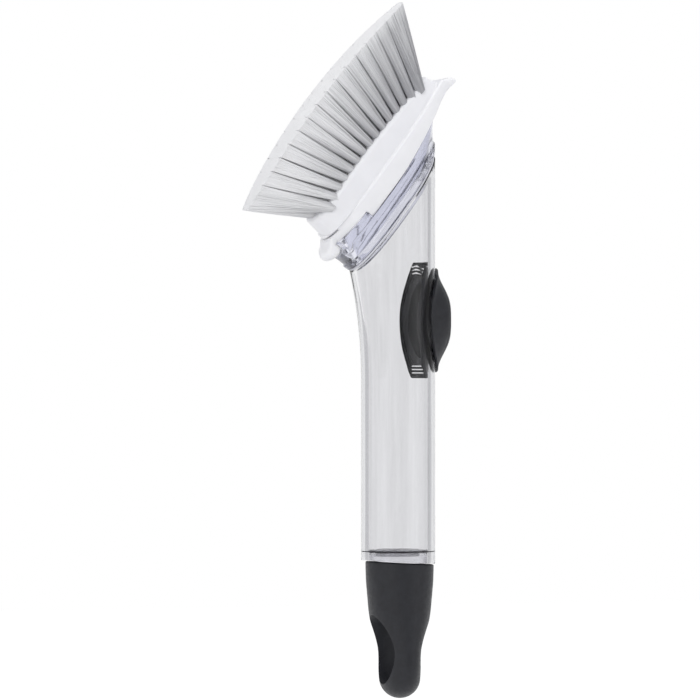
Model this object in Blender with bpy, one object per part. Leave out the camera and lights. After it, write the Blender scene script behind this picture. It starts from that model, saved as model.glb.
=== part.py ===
"""A soap-dispensing dish brush: a clear tube filled with washing-up liquid, a squeeze button on its
back, a stopper with a hanging hole at its end, and a clip-on refill head of fanned tufts.

Lengths are in metres. The origin is the centre of the hanging hole. +Z runs up the tube's axis to
the head, the tufts face -X and the button is on +X.
"""

from math import asin, cos, pi, radians, sin, sqrt, tan

import bmesh
import bpy
from mathutils import Vector
from mathutils.geometry import delaunay_2d_cdt

# Fits
GAP = 0.0003
CUT_OVERRUN = 0.004
SHARP_ANGLE = radians(38)

# Stopper grip
GRIP_RADIUS = 0.0131
GRIP_OFFSET = 0.0006
GRIP_HEIGHT = 0.0335
GRIP_END_WALL = 0.0058
GRIP_SIDE_WALL = 0.0041
GRIP_WAIST = 0.0072
GRIP_SHOULDER_SLOPE = tan(radians(3.0))
HANG_HOLE_BREADTH = 0.0180
HANG_HOLE_HEIGHT = 0.0252
HANG_HOLE_FLARE = 0.0022
GRIP_SEGMENTS = 40
# Height over the hole's centre as a share of the grip's height, and how far the waist has widened
GRIP_SWELL_SHARES = ((1.0, 1.0), (0.8, 0.965), (0.69, 0.91), (0.57, 0.84), (0.457, 0.775),
                     (0.343, 0.66), (0.227, 0.46), (0.113, 0.25), (0.0, 0.07), (-0.15, 0.0))
GRIP_ROUND_SHARES = (0.30, 0.55, 0.76, 0.91, 0.98)

# Stopper core and seal
STEM_RADIUS = 0.0080
STEM_FLOOR_WALL = 0.0039
PLUG_CLEARANCE = 0.0005
PLUG_HEIGHT = 0.0064
PLUG_WALL = 0.0024
PLUG_FLOOR = 0.0022
SEAL_THICKNESS = 0.0015
SEAL_HEIGHT = 0.0040
SEAL_SIDE_PLAY = 0.0004
CORE_SEGMENTS = 40
SEAL_SECTION_SEGMENTS = 8

# Handle tube
TUBE_RADIUS = 0.0142
TUBE_WALL = 0.0026
TUBE_LENGTH = 0.1363
FLARE_START = 0.0698
FLARE_HEIGHT = 0.0420
FLARE_REACH = 0.0050
TUBE_SEGMENTS = 48
TUBE_RISE_SHARES = (0.25, 0.45, 0.62, 0.77, 0.89, 1.0)

# Button
BUTTON_CENTRE_HEIGHT = 0.0925
BUTTON_BORDER = 0.0044
BUTTON_HALF_WRAP = radians(51)
BUTTON_CROWN = 0.0059
BUTTON_LIP = 0.0009
BUTTON_SLOPE_SHARE = 0.68
PAD_HALF_WIDTH = 0.0072
PAD_HALF_HEIGHT = 0.0156
PAD_WALL = 0.0021
RIM_NECK = 0.0009
INNER_LIP = 0.0012
INNER_LIP_HALF_WRAP = radians(66)
INNER_LIP_LAP = 0.0022
INNER_LIP_BARREL_SHARE = 1.22
LIP_RIB_DEPTH = 0.0005
DIAPHRAGM_WALL = 0.0008
DIAPHRAGM_HALF_WRAP = radians(60)
DIAPHRAGM_END_INSET = 0.0050
DIAPHRAGM_RISE = 0.0011
BUTTON_SEGMENTS = 40
RIM_FACE_SHARES = (0.0, 0.2, 0.4, 0.6, 0.8, 1.0)
LIP_SHARES = (0.0, 0.25, 0.5, 0.75, 1.0)
# Place along the lip, and how deep the groove between two of its ribs is there
RIBBED_LIP_SHARES = ((0.0, 0.0), (0.22, 0.0), (0.35, 1.0), (0.48, 0.0), (0.61, 1.0), (0.74, 0.0),
                     (0.87, 1.0), (1.0, 0.0))
PAD_FACE_SHARES = (1.0, 0.97, 0.8, 0.55, 0.28)

# Head: heights over the tube's mouth, square to the refill
HEAD_TILT = radians(36.6)
HEAD_SEGMENTS = 64
GASKET_THICKNESS = 0.0008
GASKET_EDGE = 0.0004
GASKET_LAP = 0.0022
SPIGOT_DEPTH = 0.0018
SPIGOT_WALL = 0.0016
COLLAR_HEIGHT = 0.0020
COLLAR_STEP = 0.0005
SHOULDER_HEIGHT = 0.0097
SHOULDER_RISE = 0.0036
SHOULDER_RISE_START = 0.0050
SHOULDER_RISE_LENGTH = 0.0350
SHOULDER_DIP = 0.0021
SHOULDER_DIP_LENGTH = 0.0040
SHOULDER_LOFT_SHARES = ((0.35, 0.22), (0.7, 0.58))
BOSS_HEIGHT = 0.0051
SEAT_WALL = 0.0022
SEAT_EDGE = 0.0004
LATCH_DROP = 0.0021
LATCH_END_INSET = 0.0013
LATCH_ROOT_DEPTH = 0.0006
LATCH_LAP = 0.0010

# Plan outlines of the head: the flange's two ends along the refill, and the others set against it
FLANGE_LOW_END = 0.0285
FLANGE_TIP = 0.0527
FLANGE_HALF_WIDTH = 0.0165
SHOULDER_LOW_LAP = 0.0025
SHOULDER_TIP_INSET = 0.0117
SHOULDER_SIDE_INSET = 0.0003
BOSS_LOW_INSET = 0.0050
BOSS_TIP_INSET = 0.0040
BOSS_SIDE_INSET = 0.0022
BLOCK_LOW_INSET = 0.0015
BLOCK_TIP_INSET = 0.0065
BLOCK_SIDE_INSET = 0.0027
HEAD_ROUNDNESS = 2.4
BLOCK_ROUNDNESS = 3.5

# Valve and its seat in the carrier
VALVE_PLACE = 0.0095
VALVE_SEAT_RADIUS = 0.0060
VALVE_SEAT_DEPTH = 0.0026
VALVE_FLANGE = 0.0012
VALVE_BILL_RADIUS = 0.0025
VALVE_BILL_HEIGHT = 0.0038
VALVE_BILL_LIP = 0.0007
VALVE_WALL = 0.0007
RETAINER_THICKNESS = 0.0008
NOZZLE_RADIUS = 0.0035
NOZZLE_BOSS_RADIUS = 0.0082
NOZZLE_BOSS_DEPTH = 0.0058
VALVE_SEGMENTS = 32

# Refill plate
WEB_THICKNESS = 0.0024
FLANGE_FRONT_EDGE = 0.0008
SCRAPER_LENGTH = 0.0061
SCRAPER_FALL_SHARE = 0.85
SCRAPER_BACK_LENGTH = 0.0072
SCRAPER_BACK_FALL_SHARE = 0.42
SCRAPER_LAP_SHARE = 0.55
NOTCH_LENGTH = 0.0159
SOAP_HOLE_RADIUS = 0.0032
BLOCK_STEP_HEIGHT = 0.0022
TAB_REACH = 0.0040
TAB_BOW = 0.0023
TAB_RADIUS = 0.0024
TAB_HALF_WIDTH = 0.0062
TAB_NECK_THICKNESS = 0.0022
TAB_NECK_RISE = 0.0017
TAB_SEGMENTS = 18
TAB_WIDTH_SHARES = (-1.0, -0.92, -0.6, -0.3, 0.0, 0.3, 0.6, 0.92, 1.0)
TAB_END_SHARE = 0.7
SLIT_LENGTH = 0.0045
SLIT_WIDTH = 0.0007
SLIT_LAND = 0.0011

# Tufted block
BLOCK_CROWN = 0.0062
BLOCK_CROWN_PLACE = -0.0060
BLOCK_CROWN_RADIUS = 0.4200
BLOCK_TOP_EDGE = 0.0013
BLOCK_DRAFT = 0.0006
BLOCK_SOAP_HOLE_RADIUS = 0.0026
BLOCK_SIDE_BORDER = 0.0012
TUFT_PITCH = 0.0041
ROW_COUNT = 6
TUFT_LAND = 0.0001
TUFT_RING_RADIUS = 0.00085
STRANDS_PER_TUFT = 5
STRAND_ROOT_RADIUS = 0.00042
STRAND_TIP_RADIUS = 0.00036
STRAND_SIDES = 3
TUFT_LENGTH = 0.0250
TUFT_SPREAD_SHARE = 2.0
FAN_CENTRE = 0.0045
FAN_LENGTH_SHARE = 1.51
FAN_WIDTH_SHARE = 1.12
TRIM_PLACE = 0.0022
TRIM_RADIUS = 0.3330
SIDE_POINT_PITCH = 0.0082
END_ARC_SHARES = (0.0, 0.3, 0.56, 0.77, 0.9, 0.97, 1.0)
GOLDEN_TURN = pi * (3 - sqrt(5))
MEETING_DISTANCE = 0.000000001

# Derived places
GRIP_END_DEPTH = HANG_HOLE_HEIGHT / 2 + GRIP_END_WALL
GRIP_BREADTH = HANG_HOLE_BREADTH / 2 + GRIP_SIDE_WALL
STEM_DEPTH = HANG_HOLE_HEIGHT / 2 + STEM_FLOOR_WALL
FOOT = GRIP_HEIGHT + GAP
MOUTH = FOOT + TUBE_LENGTH
BORE = TUBE_RADIUS - TUBE_WALL
BUTTON_CENTRE = FOOT + BUTTON_CENTRE_HEIGHT
BUTTON_HALF_HEIGHT = PAD_HALF_HEIGHT + BUTTON_BORDER
INNER_LIP_HALF_HEIGHT = BUTTON_HALF_HEIGHT + INNER_LIP_LAP
DIAPHRAGM_HALF_HEIGHT = INNER_LIP_HALF_HEIGHT - DIAPHRAGM_END_INSET
DIAPHRAGM_RADIUS = BORE - GAP - INNER_LIP - GAP
PAD_BACK = DIAPHRAGM_RADIUS + DIAPHRAGM_RISE + GAP
COLLAR_BASE = 2 * GAP + GASKET_THICKNESS
SEAT_HEIGHT = SHOULDER_HEIGHT + BOSS_HEIGHT
RECESS_TOP = SEAT_HEIGHT + GAP
FLANGE_FRONT = RECESS_TOP + WEB_THICKNESS
BLOCK_BASE = FLANGE_FRONT + BLOCK_STEP_HEIGHT + GAP
BLOCK_CROWN_HEIGHT = BLOCK_BASE + BLOCK_CROWN
TRIM_HEIGHT = BLOCK_CROWN_HEIGHT + TUFT_LENGTH
SHOULDER_HALF_WIDTH = FLANGE_HALF_WIDTH - SHOULDER_SIDE_INSET
BOSS_HALF_WIDTH = SHOULDER_HALF_WIDTH - BOSS_SIDE_INSET
BLOCK_HALF_WIDTH = FLANGE_HALF_WIDTH - BLOCK_SIDE_INSET
ROW_PITCH = (BLOCK_HALF_WIDTH - BLOCK_SIDE_BORDER) / (ROW_COUNT // 2)
SHOULDER_LOW_END = FLANGE_LOW_END + SHOULDER_LOW_LAP
SHOULDER_TIP = FLANGE_TIP - SHOULDER_TIP_INSET
BOSS_LOW_END = SHOULDER_LOW_END - BOSS_LOW_INSET
BOSS_TIP = SHOULDER_TIP - BOSS_TIP_INSET
BLOCK_LOW_END = FLANGE_LOW_END - BLOCK_LOW_INSET
BLOCK_TIP = FLANGE_TIP - BLOCK_TIP_INSET
BLOCK_CENTRE = (BLOCK_TIP - BLOCK_LOW_END) / 2
BLOCK_HALF_LENGTH = (BLOCK_TIP + BLOCK_LOW_END) / 2
LATCH_HEIGHT = SEAT_HEIGHT - LATCH_DROP
LATCH_ROOT_HEIGHT = SHOULDER_HEIGHT - SHOULDER_DIP - LATCH_ROOT_DEPTH
LATCH_END = FLANGE_LOW_END - LATCH_END_INSET
NOTCH_START = FLANGE_LOW_END - NOTCH_LENGTH
NOTCH_HEIGHT = LATCH_HEIGHT + GAP
LATCH_START = NOTCH_START + GAP
SLIT_START = FLANGE_LOW_END - SLIT_LENGTH
TAB_CENTRE = FLANGE_LOW_END + TAB_REACH
SCRAPER_BEND = FLANGE_TIP - SCRAPER_LENGTH
SCRAPER_BACK_BEND = FLANGE_TIP - SCRAPER_BACK_LENGTH

# Plan outlines: lower end, tip, half width and roundness power
SHOULDER = (SHOULDER_LOW_END, SHOULDER_TIP, SHOULDER_HALF_WIDTH, HEAD_ROUNDNESS)
BOSS = (BOSS_LOW_END, BOSS_TIP, BOSS_HALF_WIDTH, HEAD_ROUNDNESS)
FLANGE = (FLANGE_LOW_END, FLANGE_TIP, FLANGE_HALF_WIDTH, HEAD_ROUNDNESS)
BLOCK = (BLOCK_LOW_END, BLOCK_TIP, BLOCK_HALF_WIDTH, BLOCK_ROUNDNESS)


# Modelling helpers

def clear_scene():
    for item in list(bpy.data.objects):
        bpy.data.objects.remove(item, do_unlink=True)


def finish_material(name, colour, roughness, transmission=0.0):
    material = bpy.data.materials.new(name)
    material.use_nodes = True
    shader = material.node_tree.nodes["Principled BSDF"]
    shader.inputs["Base Color"].default_value = (*colour, 1.0)
    shader.inputs["Roughness"].default_value = roughness
    shader.inputs["Metallic"].default_value = 0.0
    shader.inputs["Transmission Weight"].default_value = transmission
    material.diffuse_color = (*colour, 1.0)
    return material


def put_in_scene(name, mesh_data, parent=None, material=None):
    item = bpy.data.objects.new(name, mesh_data)
    bpy.context.scene.collection.objects.link(item)
    if parent:
        item.parent = parent
    if material:
        mesh_data.materials.append(material)
    return item


def place_empty(name, location, turn=0.0):
    empty = bpy.data.objects.new(name, None)
    empty.location = location
    empty.rotation_euler = (0.0, turn, 0.0)
    bpy.context.scene.collection.objects.link(empty)
    return empty


def to_mesh(name, shape, smooth=True):
    bmesh.ops.recalc_face_normals(shape, faces=shape.faces)
    if shape.calc_volume(signed=True) < 0:
        bmesh.ops.reverse_faces(shape, faces=shape.faces)
    data = bpy.data.meshes.new(name)
    shape.to_mesh(data)
    shape.free()
    if smooth:
        data.shade_smooth()
        data.set_sharp_from_angle(angle=SHARP_ANGLE)
    return data


def join_loops(shape, lower, upper):
    """Join two loops of points with faces; a loop of one point closes in a fan."""
    count = max(len(lower), len(upper))
    for k in range(count):
        corners = [lower[k % len(lower)], lower[(k + 1) % len(lower)],
                   upper[(k + 1) % len(upper)], upper[k % len(upper)]]
        shape.faces.new(list(dict.fromkeys(corners)))


def skin(name, rings, wrap=False):
    """A closed skin through rings of points, which wraps round on itself or has flat ends."""
    shape = bmesh.new()
    loops = [[shape.verts.new(point) for point in ring] for ring in rings]
    for lower, upper in zip(loops, loops[1:]):
        join_loops(shape, lower, upper)
    if wrap:
        join_loops(shape, loops[-1], loops[0])
    else:
        for loop in (loops[0], loops[-1]):
            if len(loop) > 2:
                shape.faces.new(loop)
    return to_mesh(name, shape)


def angles(count):
    return [2 * pi * k / count for k in range(count)]


def signed_power(value, power):
    return abs(value) ** power * (1 if value >= 0 else -1)


def smooth_step(value):
    value = min(1.0, max(0.0, value))
    return value * value * (3 - 2 * value)


def mix(start, end, share):
    return start + (end - start) * share


def circle(radius, height, count, place=0.0):
    return [(place + radius * cos(turn), radius * sin(turn), height) for turn in angles(count)]


def box_mesh(name, low, high):
    shape = bmesh.new()
    bmesh.ops.create_cube(shape, size=1.0)
    for vertex in shape.verts:
        for axis in range(3):
            vertex.co[axis] = low[axis] if vertex.co[axis] < 0 else high[axis]
    return to_mesh(name, shape, smooth=False)


def add_boolean(target, tool, operation):
    tool.hide_render = True
    tool.display_type = 'WIRE'
    change = target.modifiers.new(tool.name, 'BOOLEAN')
    change.operation = operation
    change.solver = 'EXACT'
    change.object = tool


# Stopper

def grip_section(height):
    """Half depth along X and half breadth along Y of the grip at a height over the hole's centre."""
    shares = sorted(GRIP_SWELL_SHARES)
    share = height / GRIP_HEIGHT
    swell = 0.0
    for (low, low_swell), (high, high_swell) in zip(shares, shares[1:]):
        if low <= share <= high:
            swell = mix(low_swell, high_swell, (share - low) / (high - low))
    depth = mix(GRIP_WAIST, GRIP_RADIUS, swell)
    breadth = mix(GRIP_BREADTH, GRIP_RADIUS, max(swell, 0.0))
    end = -GRIP_END_DEPTH
    if height < end + GRIP_WAIST:
        depth = sqrt(max(0.0, GRIP_WAIST ** 2 - (end + GRIP_WAIST - height) ** 2))
    if height < end + GRIP_BREADTH:
        breadth = sqrt(max(0.0, GRIP_BREADTH ** 2 - (end + GRIP_BREADTH - height) ** 2))
    return depth, breadth


def shoulder_lift(x):
    """The stopper's shoulder and the tube's foot rise a little towards the tufts."""
    return -x * GRIP_SHOULDER_SLOPE


def grip_ring(height, lean):
    depth, breadth = grip_section(height)
    ring = []
    for turn in angles(GRIP_SEGMENTS):
        x = GRIP_OFFSET + depth * cos(turn)
        ring.append((x, breadth * sin(turn), height + lean * shoulder_lift(x)))
    return ring


def make_end_grip():
    rings = []
    for share, _ in GRIP_SWELL_SHARES:
        lean = max(0.0, share) ** 2
        rings.append(grip_ring(share * GRIP_HEIGHT, lean))
    lowest = GRIP_SWELL_SHARES[-1][0] * GRIP_HEIGHT
    for share in GRIP_ROUND_SHARES:
        rings.append(grip_ring(mix(lowest, -GRIP_END_DEPTH, share), 0.0))
    rings.append([(0.0, 0.0, -GRIP_END_DEPTH)])
    socket = STEM_RADIUS + GAP
    floor = STEM_DEPTH - GAP
    mouth = [(x, y, GRIP_HEIGHT + shoulder_lift(x)) for x, y, _ in circle(socket, 0.0, GRIP_SEGMENTS)]
    inside = [[(0.0, 0.0, floor)], circle(socket, floor, GRIP_SEGMENTS), mouth]
    grip = put_in_scene("end_grip", skin("end_grip", inside + rings),
                        material=finish_material("grip_rubber", (0.035, 0.036, 0.042), 0.55))
    add_boolean(grip, make_hang_hole(), 'DIFFERENCE')
    return grip


def make_hang_hole():
    half_breadth = HANG_HOLE_BREADTH / 2
    half_height = HANG_HOLE_HEIGHT / 2
    reach = GRIP_RADIUS + GRIP_OFFSET + CUT_OVERRUN
    rings = []
    for place, flare in ((-reach, HANG_HOLE_FLARE), (-GRIP_WAIST / 2, 0.0), (GRIP_WAIST / 2, 0.0),
                         (reach, HANG_HOLE_FLARE)):
        rings.append([(place, (half_breadth + flare) * cos(turn), (half_height + flare) * sin(turn))
                      for turn in angles(GRIP_SEGMENTS)])
    return put_in_scene("hang_hole_cutter", skin("hang_hole_cutter", rings))


def make_cap_core():
    radius = BORE - PLUG_CLEARANCE
    groove = BORE - 2 * GAP - SEAL_THICKNESS
    groove_half = SEAL_THICKNESS / 2 + SEAL_SIDE_PLAY
    middle = FOOT + SEAL_HEIGHT
    top = FOOT + PLUG_HEIGHT
    pocket = radius - PLUG_WALL
    foot = [(x, y, FOOT + shoulder_lift(x)) for x, y, _ in circle(radius, 0.0, CORE_SEGMENTS)]
    root = [(x, y, FOOT + shoulder_lift(x)) for x, y, _ in circle(STEM_RADIUS, 0.0, CORE_SEGMENTS)]
    rings = [
        [(0.0, 0.0, STEM_DEPTH)],
        circle(STEM_RADIUS, STEM_DEPTH, CORE_SEGMENTS),
        root,
        foot,
        circle(radius, middle - groove_half, CORE_SEGMENTS),
        circle(groove, middle - groove_half, CORE_SEGMENTS),
        circle(groove, middle + groove_half, CORE_SEGMENTS),
        circle(radius, middle + groove_half, CORE_SEGMENTS),
        circle(radius, top, CORE_SEGMENTS),
        circle(pocket, top, CORE_SEGMENTS),
        circle(pocket, FOOT + PLUG_FLOOR, CORE_SEGMENTS),
        [(0.0, 0.0, FOOT + PLUG_FLOOR)],
    ]
    clear = finish_material("core_clear", (0.86, 0.87, 0.90), 0.12, 0.6)
    return put_in_scene("cap_core", skin("cap_core", rings), material=clear)


def make_cap_seal():
    section = SEAL_THICKNESS / 2
    middle = BORE - GAP - section
    rings = []
    for turn in angles(SEAL_SECTION_SEGMENTS):
        rings.append(circle(middle + section * cos(turn), FOOT + SEAL_HEIGHT + section * sin(turn),
                            CORE_SEGMENTS))
    return put_in_scene("cap_seal", skin("cap_seal", rings, wrap=True),
                        material=finish_material("seal_rubber", (0.02, 0.02, 0.023), 0.45))


# Handle tube

def tube_x(cosine, inset, z):
    """X of the tube's skin: round, and swelled at the front below the mouth."""
    reach = TUBE_RADIUS - inset
    if cosine < 0:
        reach += FLARE_REACH * max(0.0, (z - FOOT - FLARE_START) / FLARE_HEIGHT) ** 2
    return reach * cosine


def slanted_point(turn, inset, lift=0.0):
    """A point of the tube's skin on the mouth's plane, or on a parallel plane raised along the axis."""
    x = 0.0
    for _ in range(24):
        z = MOUTH + lift + x / tan(HEAD_TILT)
        x = tube_x(cos(turn), inset, z)
    return x, (TUBE_RADIUS - inset) * sin(turn), MOUTH + lift + x / tan(HEAD_TILT)


def tube_rings(inset):
    flare_foot = FOOT + FLARE_START
    foot = []
    straight = []
    for turn in angles(TUBE_SEGMENTS):
        x = (TUBE_RADIUS - inset) * cos(turn)
        y = (TUBE_RADIUS - inset) * sin(turn)
        foot.append((x, y, FOOT + shoulder_lift(x)))
        straight.append((x, y, flare_foot))
    rings = [foot, straight]
    for share in TUBE_RISE_SHARES:
        ring = []
        for turn in angles(TUBE_SEGMENTS):
            z = mix(flare_foot, slanted_point(turn, inset)[2], share)
            ring.append((tube_x(cos(turn), inset, z), (TUBE_RADIUS - inset) * sin(turn), z))
        rings.append(ring)
    return rings


def make_handle_tube():
    rings = tube_rings(0.0) + tube_rings(TUBE_WALL)[::-1]
    tube = put_in_scene("handle_tube", skin("handle_tube", rings, wrap=True),
                        material=finish_material("tube_clear", (0.80, 0.81, 0.84), 0.06, 0.85))
    add_boolean(tube, make_button_opening(), 'DIFFERENCE')
    return tube


def neck_sizes():
    """Half width and half height of the rim's neck, which passes through the tube's opening."""
    return (PAD_HALF_WIDTH + GAP + RIM_NECK, PAD_HALF_HEIGHT + GAP + RIM_NECK)


def make_button_opening():
    half_width, half_height = (size + GAP for size in neck_sizes())
    rings = []
    for x in (BORE - half_width, TUBE_RADIUS + CUT_OVERRUN):
        rings.append([(x, half_width * cos(turn), BUTTON_CENTRE + half_height * sin(turn))
                      for turn in angles(BUTTON_SEGMENTS)])
    return put_in_scene("button_opening_cutter", skin("button_opening_cutter", rings))


# Button

def dome_height(wrap, z):
    """Height of the button's face over the tube, from its thin lip to its crown."""
    out = sqrt((wrap / BUTTON_HALF_WRAP) ** 2 + ((z - BUTTON_CENTRE) / BUTTON_HALF_HEIGHT) ** 2)
    return BUTTON_LIP + (BUTTON_CROWN - BUTTON_LIP) * smooth_step((1 - out) / BUTTON_SLOPE_SHARE)


def wrapped_point(radius, wrap, z):
    return (radius * cos(wrap), radius * sin(wrap), z)


def dome_wrap(y, z):
    """The angle round the tube at which the face has this y."""
    radius = TUBE_RADIUS + BUTTON_CROWN
    for _ in range(30):
        wrap = asin(y / radius)
        radius = TUBE_RADIUS + GAP + dome_height(wrap, z)
    return wrap


def dome_point(y, z):
    wrap = dome_wrap(y, z)
    return wrapped_point(TUBE_RADIUS + GAP + dome_height(wrap, z), wrap, z)


def oval_place(turn, half_width, half_height):
    return half_width * cos(turn), BUTTON_CENTRE + half_height * sin(turn)


def lip_points(turn, sizes, radius, half_wrap, half_height):
    """Points along a lip, from the drilled oval out to the lip's wrapped edge."""
    y, z = oval_place(turn, *sizes)
    start_wrap = asin(y / radius)
    end_wrap = half_wrap * cos(turn)
    end_z = BUTTON_CENTRE + half_height * sin(turn)
    return [wrapped_point(radius, mix(start_wrap, end_wrap, share), mix(z, end_z, share))
            for share in LIP_SHARES]


def inner_lip_points(turn, sizes, radius, groove_depth):
    """Points along a face of the inner lip, which is a barrel with blunt ends; one face is ribbed."""
    y, z = oval_place(turn, *sizes)
    start_wrap = asin(y / radius)
    end_wrap = INNER_LIP_HALF_WRAP * cos(turn)
    height = INNER_LIP_BARREL_SHARE * sin(turn)
    end_z = BUTTON_CENTRE + INNER_LIP_HALF_HEIGHT * min(1.0, max(-1.0, height))
    points = []
    for share, depth_share in RIBBED_LIP_SHARES:
        if groove_depth or not depth_share:
            depth = groove_depth * depth_share
            points.append(wrapped_point(radius + depth, mix(start_wrap, end_wrap, share),
                                        mix(z, end_z, share)))
    return points


def rim_section(turn):
    opening = (PAD_HALF_WIDTH + GAP, PAD_HALF_HEIGHT + GAP)
    y, z = oval_place(turn, *opening)
    start_wrap = dome_wrap(y, z)
    end_wrap = BUTTON_HALF_WRAP * cos(turn)
    end_z = BUTTON_CENTRE + BUTTON_HALF_HEIGHT * sin(turn)
    face = []
    for share in RIM_FACE_SHARES:
        wrap = mix(start_wrap, end_wrap, share)
        height = mix(z, end_z, share)
        face.append(wrapped_point(TUBE_RADIUS + GAP + dome_height(wrap, height), wrap, height))
    outer = lip_points(turn, neck_sizes(), TUBE_RADIUS + GAP, BUTTON_HALF_WRAP, BUTTON_HALF_HEIGHT)
    inner = inner_lip_points(turn, neck_sizes(), BORE - GAP, 0)
    under = inner_lip_points(turn, opening, BORE - GAP - INNER_LIP, LIP_RIB_DEPTH)
    return face + outer[::-1] + inner + under[::-1]


def make_button_rim():
    rings = [rim_section(turn) for turn in angles(BUTTON_SEGMENTS)]
    return put_in_scene("button_rim", skin("button_rim", rings, wrap=True),
                        material=finish_material("rim_rubber", (0.030, 0.031, 0.036), 0.5))


def oval_ring(x, inset):
    sizes = (PAD_HALF_WIDTH - inset, PAD_HALF_HEIGHT - inset)
    return [(x, *oval_place(turn, *sizes)) for turn in angles(BUTTON_SEGMENTS)]


def face_ring(share, sink=0.0, inset=0.0):
    ring = []
    for turn in angles(BUTTON_SEGMENTS):
        y = share * (PAD_HALF_WIDTH - inset) * cos(turn)
        z = BUTTON_CENTRE + share * (PAD_HALF_HEIGHT - inset) * sin(turn)
        x, _, _ = dome_point(y, z)
        ring.append((x - sink, y, z))
    return ring


def make_button_pad():
    """The pad slides along X, so its origin is on the button's own axis."""
    crown = dome_point(0.0, BUTTON_CENTRE)
    rings = [[crown]] + [face_ring(share) for share in PAD_FACE_SHARES[::-1]]
    rings.append(oval_ring(PAD_BACK, 0.0))
    rings.append(oval_ring(PAD_BACK, PAD_WALL))
    rings += [face_ring(share, sink=PAD_WALL, inset=PAD_WALL) for share in PAD_FACE_SHARES[1:]]
    rings.append([(crown[0] - PAD_WALL, crown[1], crown[2])])
    axis = Vector((0.0, 0.0, BUTTON_CENTRE))
    rings = [[Vector(point) - axis for point in ring] for ring in rings]
    pad = put_in_scene("button_pad", skin("button_pad", rings),
                       material=finish_material("pad_rubber", (0.030, 0.031, 0.036), 0.5))
    pad.location = axis
    return pad


def diaphragm_section(turn):
    """A sleeve from the pad's back to a flange that lies under the rim's inner lip."""
    outer = (PAD_HALF_WIDTH - GAP, PAD_HALF_HEIGHT - GAP)
    inner = tuple(size - DIAPHRAGM_WALL for size in outer)
    top = PAD_BACK - GAP
    flange = lip_points(turn, outer, DIAPHRAGM_RADIUS, DIAPHRAGM_HALF_WRAP, DIAPHRAGM_HALF_HEIGHT)
    under = lip_points(turn, inner, DIAPHRAGM_RADIUS - DIAPHRAGM_WALL, DIAPHRAGM_HALF_WRAP,
                       DIAPHRAGM_HALF_HEIGHT)
    return ([(top, *oval_place(turn, *outer))] + flange + under[::-1]
            + [(top, *oval_place(turn, *inner))])


def make_button_diaphragm():
    rings = [diaphragm_section(turn) for turn in angles(BUTTON_SEGMENTS)]
    return put_in_scene("button_diaphragm", skin("button_diaphragm", rings, wrap=True),
                        material=finish_material("diaphragm_rubber", (0.05, 0.05, 0.055), 0.5))


# Head outlines, in the head's own frame: x along the refill, y across, z square to it

def collar_ring(inset, height):
    """The tube's mouth carried up to a height: upright at the back, square to the head in front."""
    ring = []
    for turn in angles(HEAD_SEGMENTS):
        x, y, _ = slanted_point(turn, inset)
        back_share = (1 + cos(turn)) / 2
        ring.append((x / sin(HEAD_TILT) + back_share * height / tan(HEAD_TILT), y, height))
    return ring


def sunk_ring(inset, depth):
    """The tube's skin on a plane parallel to the mouth and below it."""
    ring = []
    for turn in angles(HEAD_SEGMENTS):
        x, y, _ = slanted_point(turn, inset, -depth / sin(HEAD_TILT))
        ring.append(((x - depth * cos(HEAD_TILT)) / sin(HEAD_TILT), y, -depth))
    return ring


def plan_points(outline, inset=0.0):
    low_end, tip, half_width, power = outline
    centre = (tip - low_end) / 2
    half_length = (tip + low_end) / 2
    return [(centre + (half_length - inset) * signed_power(cos(turn), 2 / power),
             (half_width - inset) * signed_power(sin(turn), 2 / power))
            for turn in angles(HEAD_SEGMENTS)]


def plan_ring(outline, height, inset=0.0):
    """An outline at a height, which is a number or a function of the place along the refill."""
    points = plan_points(outline, inset)
    if callable(height):
        return [(x, y, height(x)) for x, y in points]
    return [(x, y, height) for x, y in points]


def blend_rings(lower, upper, share, height_share):
    return [(mix(a[0], b[0], share), mix(a[1], b[1], share), mix(a[2], b[2], height_share))
            for a, b in zip(lower, upper)]


def shoulder_rise(x):
    share = min(1.0, max(0.0, (x - SHOULDER_RISE_START) / SHOULDER_RISE_LENGTH))
    return SHOULDER_RISE * share ** 1.5


def shoulder_height(x):
    """Height of the carrier's shoulder, which dips under the refill's pull tab."""
    dip = SHOULDER_DIP * smooth_step((-SLIT_START - x) / SHOULDER_DIP_LENGTH)
    return SHOULDER_HEIGHT + shoulder_rise(x) - dip


def skirt_edge(x):
    """Height of the skirt's edge, which turns back under the scraper tip."""
    fall = SCRAPER_BACK_FALL_SHARE * max(0.0, x - SCRAPER_BACK_BEND)
    return SHOULDER_HEIGHT + GAP + shoulder_rise(x) - fall


def flange_front(x):
    return FLANGE_FRONT - SCRAPER_FALL_SHARE * max(0.0, x - SCRAPER_BEND)


def flange_side(x):
    return flange_front(x) - FLANGE_FRONT_EDGE


def block_face(x):
    return BLOCK_CROWN_HEIGHT - (x - BLOCK_CROWN_PLACE) ** 2 / (2 * BLOCK_CROWN_RADIUS)


def valve_circle(radius, height, count=HEAD_SEGMENTS):
    return circle(radius, height, count, VALVE_PLACE)


# Carrier, gasket, valve and retainer

def make_mouth_gasket(head):
    low = GAP
    high = GAP + GASKET_THICKNESS
    rings = [collar_ring(GASKET_EDGE, low), collar_ring(GASKET_EDGE, high),
             collar_ring(GASKET_LAP, high), collar_ring(GASKET_LAP, low)]
    return put_in_scene("mouth_gasket", skin("mouth_gasket", rings, wrap=True), head,
                        finish_material("gasket_rubber", (0.03, 0.03, 0.035), 0.5))


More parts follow.
